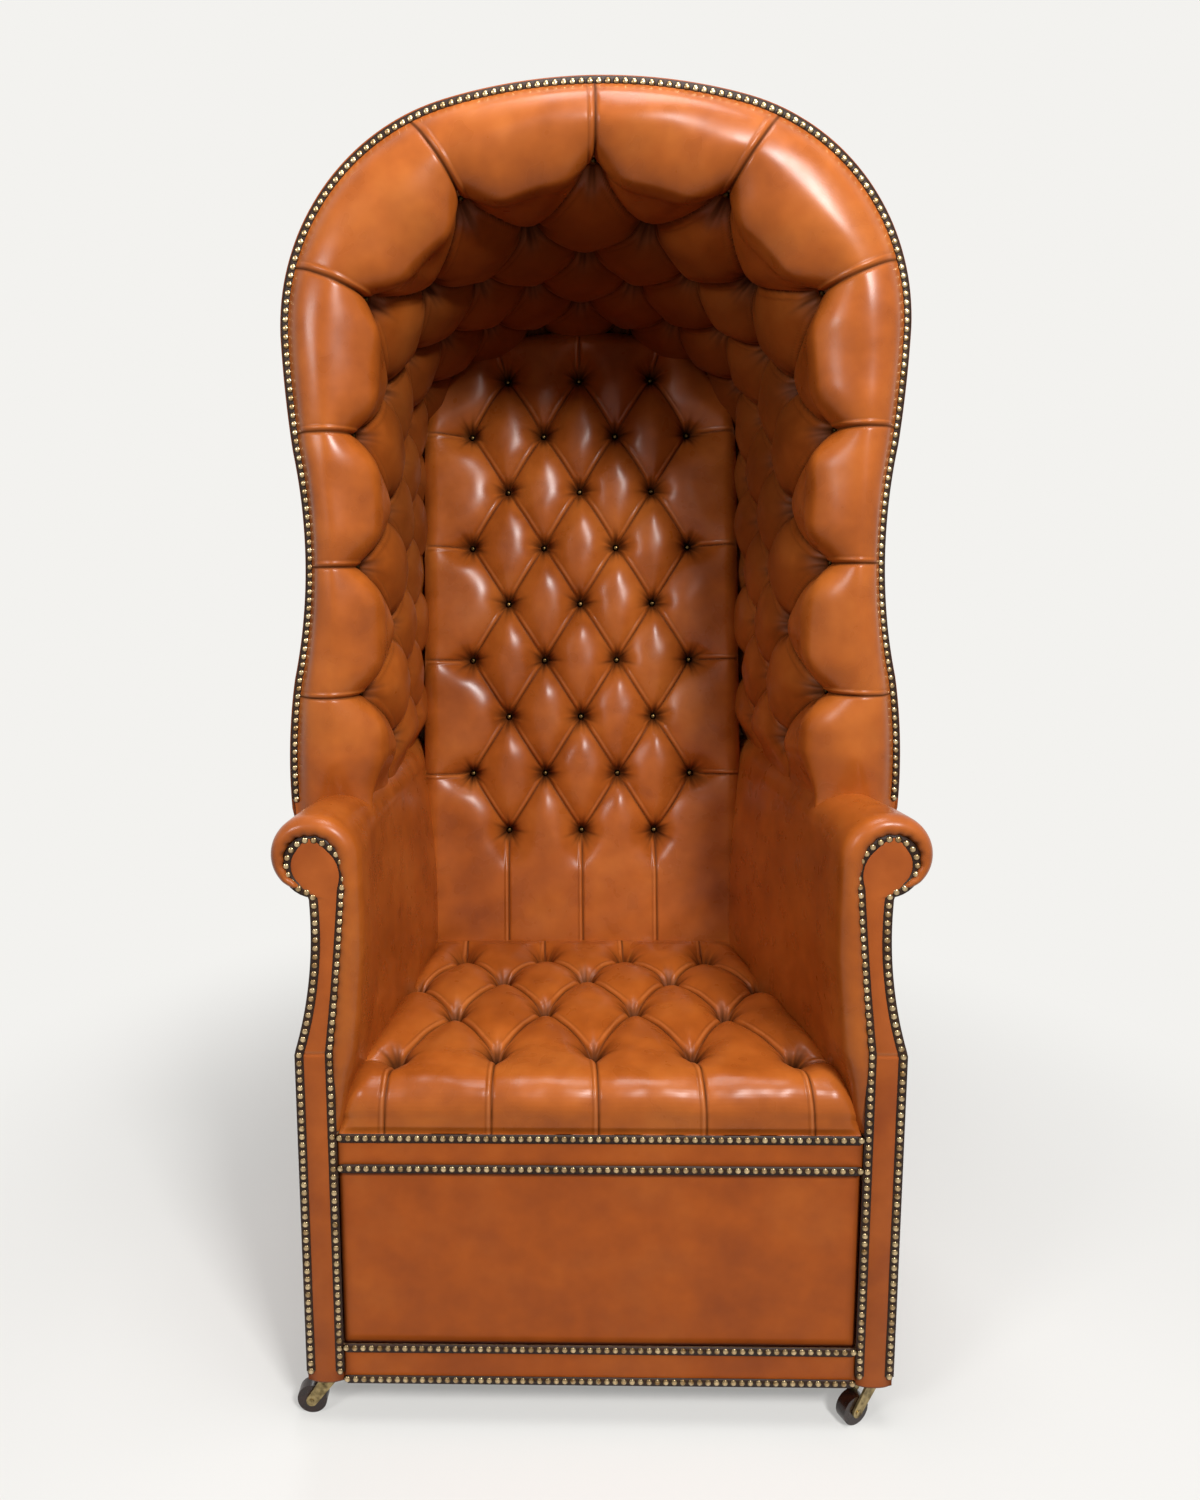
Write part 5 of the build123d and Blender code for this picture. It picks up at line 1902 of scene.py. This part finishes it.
@dataclass
class Studio:
    """Pale floor and backdrop, soft lamps and the camera."""

    camera_place: Triple = (-0.0650, -1.4726, 1.0862)
    pitch: float = 7.31
    roll: float = -0.44
    yaw: float = 1.23
    lens: float = 23.55
    shift: Pair = (0.052, -0.044)
    paper: str = "#F3F2EF"
    paint: str = "#E4E3E0"
    shade: str = "#57514A"
    air: float = 0.16
    clear: Pair = (0.55, 1.5)
    floor_radius: float = 3.0

    def build(self) -> None:
        """Make the stage, the lamps and the camera."""
        self._floor()
        self._lamp("key_lamp", (1.0, -2.4, 2.6), (0, 0, 0.85), 0.6, 88)
        self._lamp("left_lamp", (-1.7, -2.0, 2.0), (0, 0, 0.9), 0.6, 23)
        self._lamp("top_lamp", (0.2, -0.7, 3.3), (0, 0.1, 0), 1.0, 36)
        self._lamp("back_lamp", (-0.6, 2.6, 2.4), (0, 0, 0.9), 1.4, 26)
        self._air()
        bpy.context.scene.view_settings.view_transform = "Standard"
        self._camera()

    def _air(self) -> None:
        """Light the room evenly, with pale paper where an eye or a reflection misses the chair."""
        world = bpy.data.worlds.new("studio_air")
        bpy.context.scene.world = world
        nodes = Nodes(world)
        plain = nodes.add("ShaderNodeBackground", {"Color": "#FFFFFF", "Strength": self.air})
        paper = nodes.add("ShaderNodeBackground", {"Color": self.paper})
        mix = nodes.add("ShaderNodeMixShader", {0: self._seen(nodes), 1: plain, 2: paper})
        nodes.add("ShaderNodeOutputWorld", {"Surface": mix})

    def _seen(self, nodes: Nodes) -> Link:
        """One for rays of the camera, of reflections and through glass, nought for others.

        Args:
            nodes: Node tree to add to.

        Returns:
            The node and the output that say so.
        """
        path = nodes.add("ShaderNodeLightPath")
        total = (path, "Is Camera Ray")
        for kind in ("Is Glossy Ray", "Is Transmission Ray"):
            either = {0: total, 1: (path, kind)}
            total = (nodes.add("ShaderNodeMath", either, operation="MAXIMUM"), 0)
        return total

    def _floor(self) -> None:
        """Make a round floor that keeps the shadow near the chair and fades into the paper."""
        shape = bmesh.new()
        bmesh.ops.create_circle(shape, cap_ends=True, segments=96, radius=self.floor_radius)
        floor = add_piece("studio_floor", shape)
        # Matt painted boards, seen by the camera and by reflections; light bounces off darker ones
        material = bpy.data.materials.new("painted_floor")
        nodes = Nodes(material)
        matt = {"Base Color": self.paint, "Roughness": 0.95, "Specular IOR Level": 0.0}
        paint = nodes.add("ShaderNodeBsdfPrincipled", matt)
        sunk = nodes.add("ShaderNodeBsdfDiffuse", {"Color": self.shade})
        flat = nodes.add("ShaderNodeEmission", {"Color": self.paper})
        place = (nodes.add("ShaderNodeTexCoord"), "Object")
        far = (nodes.add("ShaderNodeVectorMath", {0: place}, operation="LENGTH"), "Value")
        near, beyond = self.clear
        fade = nodes.add(
            "ShaderNodeMapRange",
            {"Value": far, "From Min": near, "From Max": beyond, "To Min": 0.35},
            interpolation_type="SMOOTHSTEP",
        )
        paper = nodes.add("ShaderNodeMixShader", {0: fade, 1: paint, 2: flat})
        whole = nodes.add("ShaderNodeMixShader", {0: self._seen(nodes), 1: sunk, 2: paper})
        nodes.add("ShaderNodeOutputMaterial", {"Surface": whole})
        floor.data.materials.append(material)

    def _lamp(self, name: str, place: Triple, aim: Triple, size: float, power: float) -> None:
        """Add one square soft lamp.

        Args:
            name: Name of the lamp.
            place: Where it stands, in metres.
            aim: The point that it looks at.
            size: Side of its square.
            power: Power in watts.
        """
        light = bpy.data.lights.new(name, "AREA")
        light.size = size
        light.energy = power
        lamp = bpy.data.objects.new(name, light)
        lamp.location = place
        way = Vector(aim) - Vector(place)
        lamp.rotation_euler = way.to_track_quat("-Z", "Y").to_euler()
        bpy.context.scene.collection.objects.link(lamp)

    def _camera(self) -> None:
        """Add the camera at the photograph's place."""
        data = bpy.data.cameras.new("camera")
        data.sensor_fit = "VERTICAL"
        data.sensor_height = 36
        data.lens = self.lens
        data.shift_x, data.shift_y = self.shift
        data.clip_end = 60
        camera = bpy.data.objects.new("camera", data)
        camera.matrix_world = (
            Matrix.Translation(self.camera_place)
            @ Matrix.Rotation(math.radians(self.yaw), 4, "Z")
            @ Matrix.Rotation(math.radians(90 - self.pitch), 4, "X")
            @ Matrix.Rotation(math.radians(self.roll), 4, "Z")
        )
        bpy.context.scene.collection.objects.link(camera)
        bpy.context.scene.camera = camera


def dress_solids(frame: dict, shop: Workshop) -> None:
    """Give each solid that stays in sight or inside its finish.

    Args:
        frame: The frame as it was loaded.
        shop: Finishes and heads that the pieces share.
    """
    finishes = (
        ("caster_wheel", Finish.WHEEL),
        ("caster", Finish.CASTER),
        ("seat_webbing", Finish.JUTE),
        ("bottom_cover", Finish.CAMBRIC),
        ("", Finish.BEECH),
    )
    for name, node in frame["nodes"].items():
        finish = next(finish for start, finish in finishes if name.startswith(start))
        shop.dress(node, finish)


def main() -> None:
    """Dress the frame of the chair and set the studio round it."""
    logging.basicConfig(level=logging.INFO)
    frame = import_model()
    nails = Heads("brass_nails", radius=4.8, height=3.4, sides=10)
    studs = Heads("stud_buttons", radius=5.4, height=4.0, sides=14)
    shop = Workshop(nails, studs)
    dress_solids(frame, shop)
    hood = HoodShape()
    stuffed = HoodInside(hood), HoodShell(hood), BackCushion(), SeatCushion()
    for part in (*stuffed, Arms(), FrontPanels()):
        part.build(shop)
    shop.fit(nails.build(), Finish.NAIL)
    # Dark strips under the rows of nails, as painted shade round them
    shop.fit(nails.build_shade_strips("nail_shade_strips", 11.0, 0.5), Finish.NAIL_SHADE)
    shop.fit(studs.build(), Finish.BUTTON, ["back_buttons", "seat_buttons"])
    Studio().build()


if __name__ == "__main__":
    main()
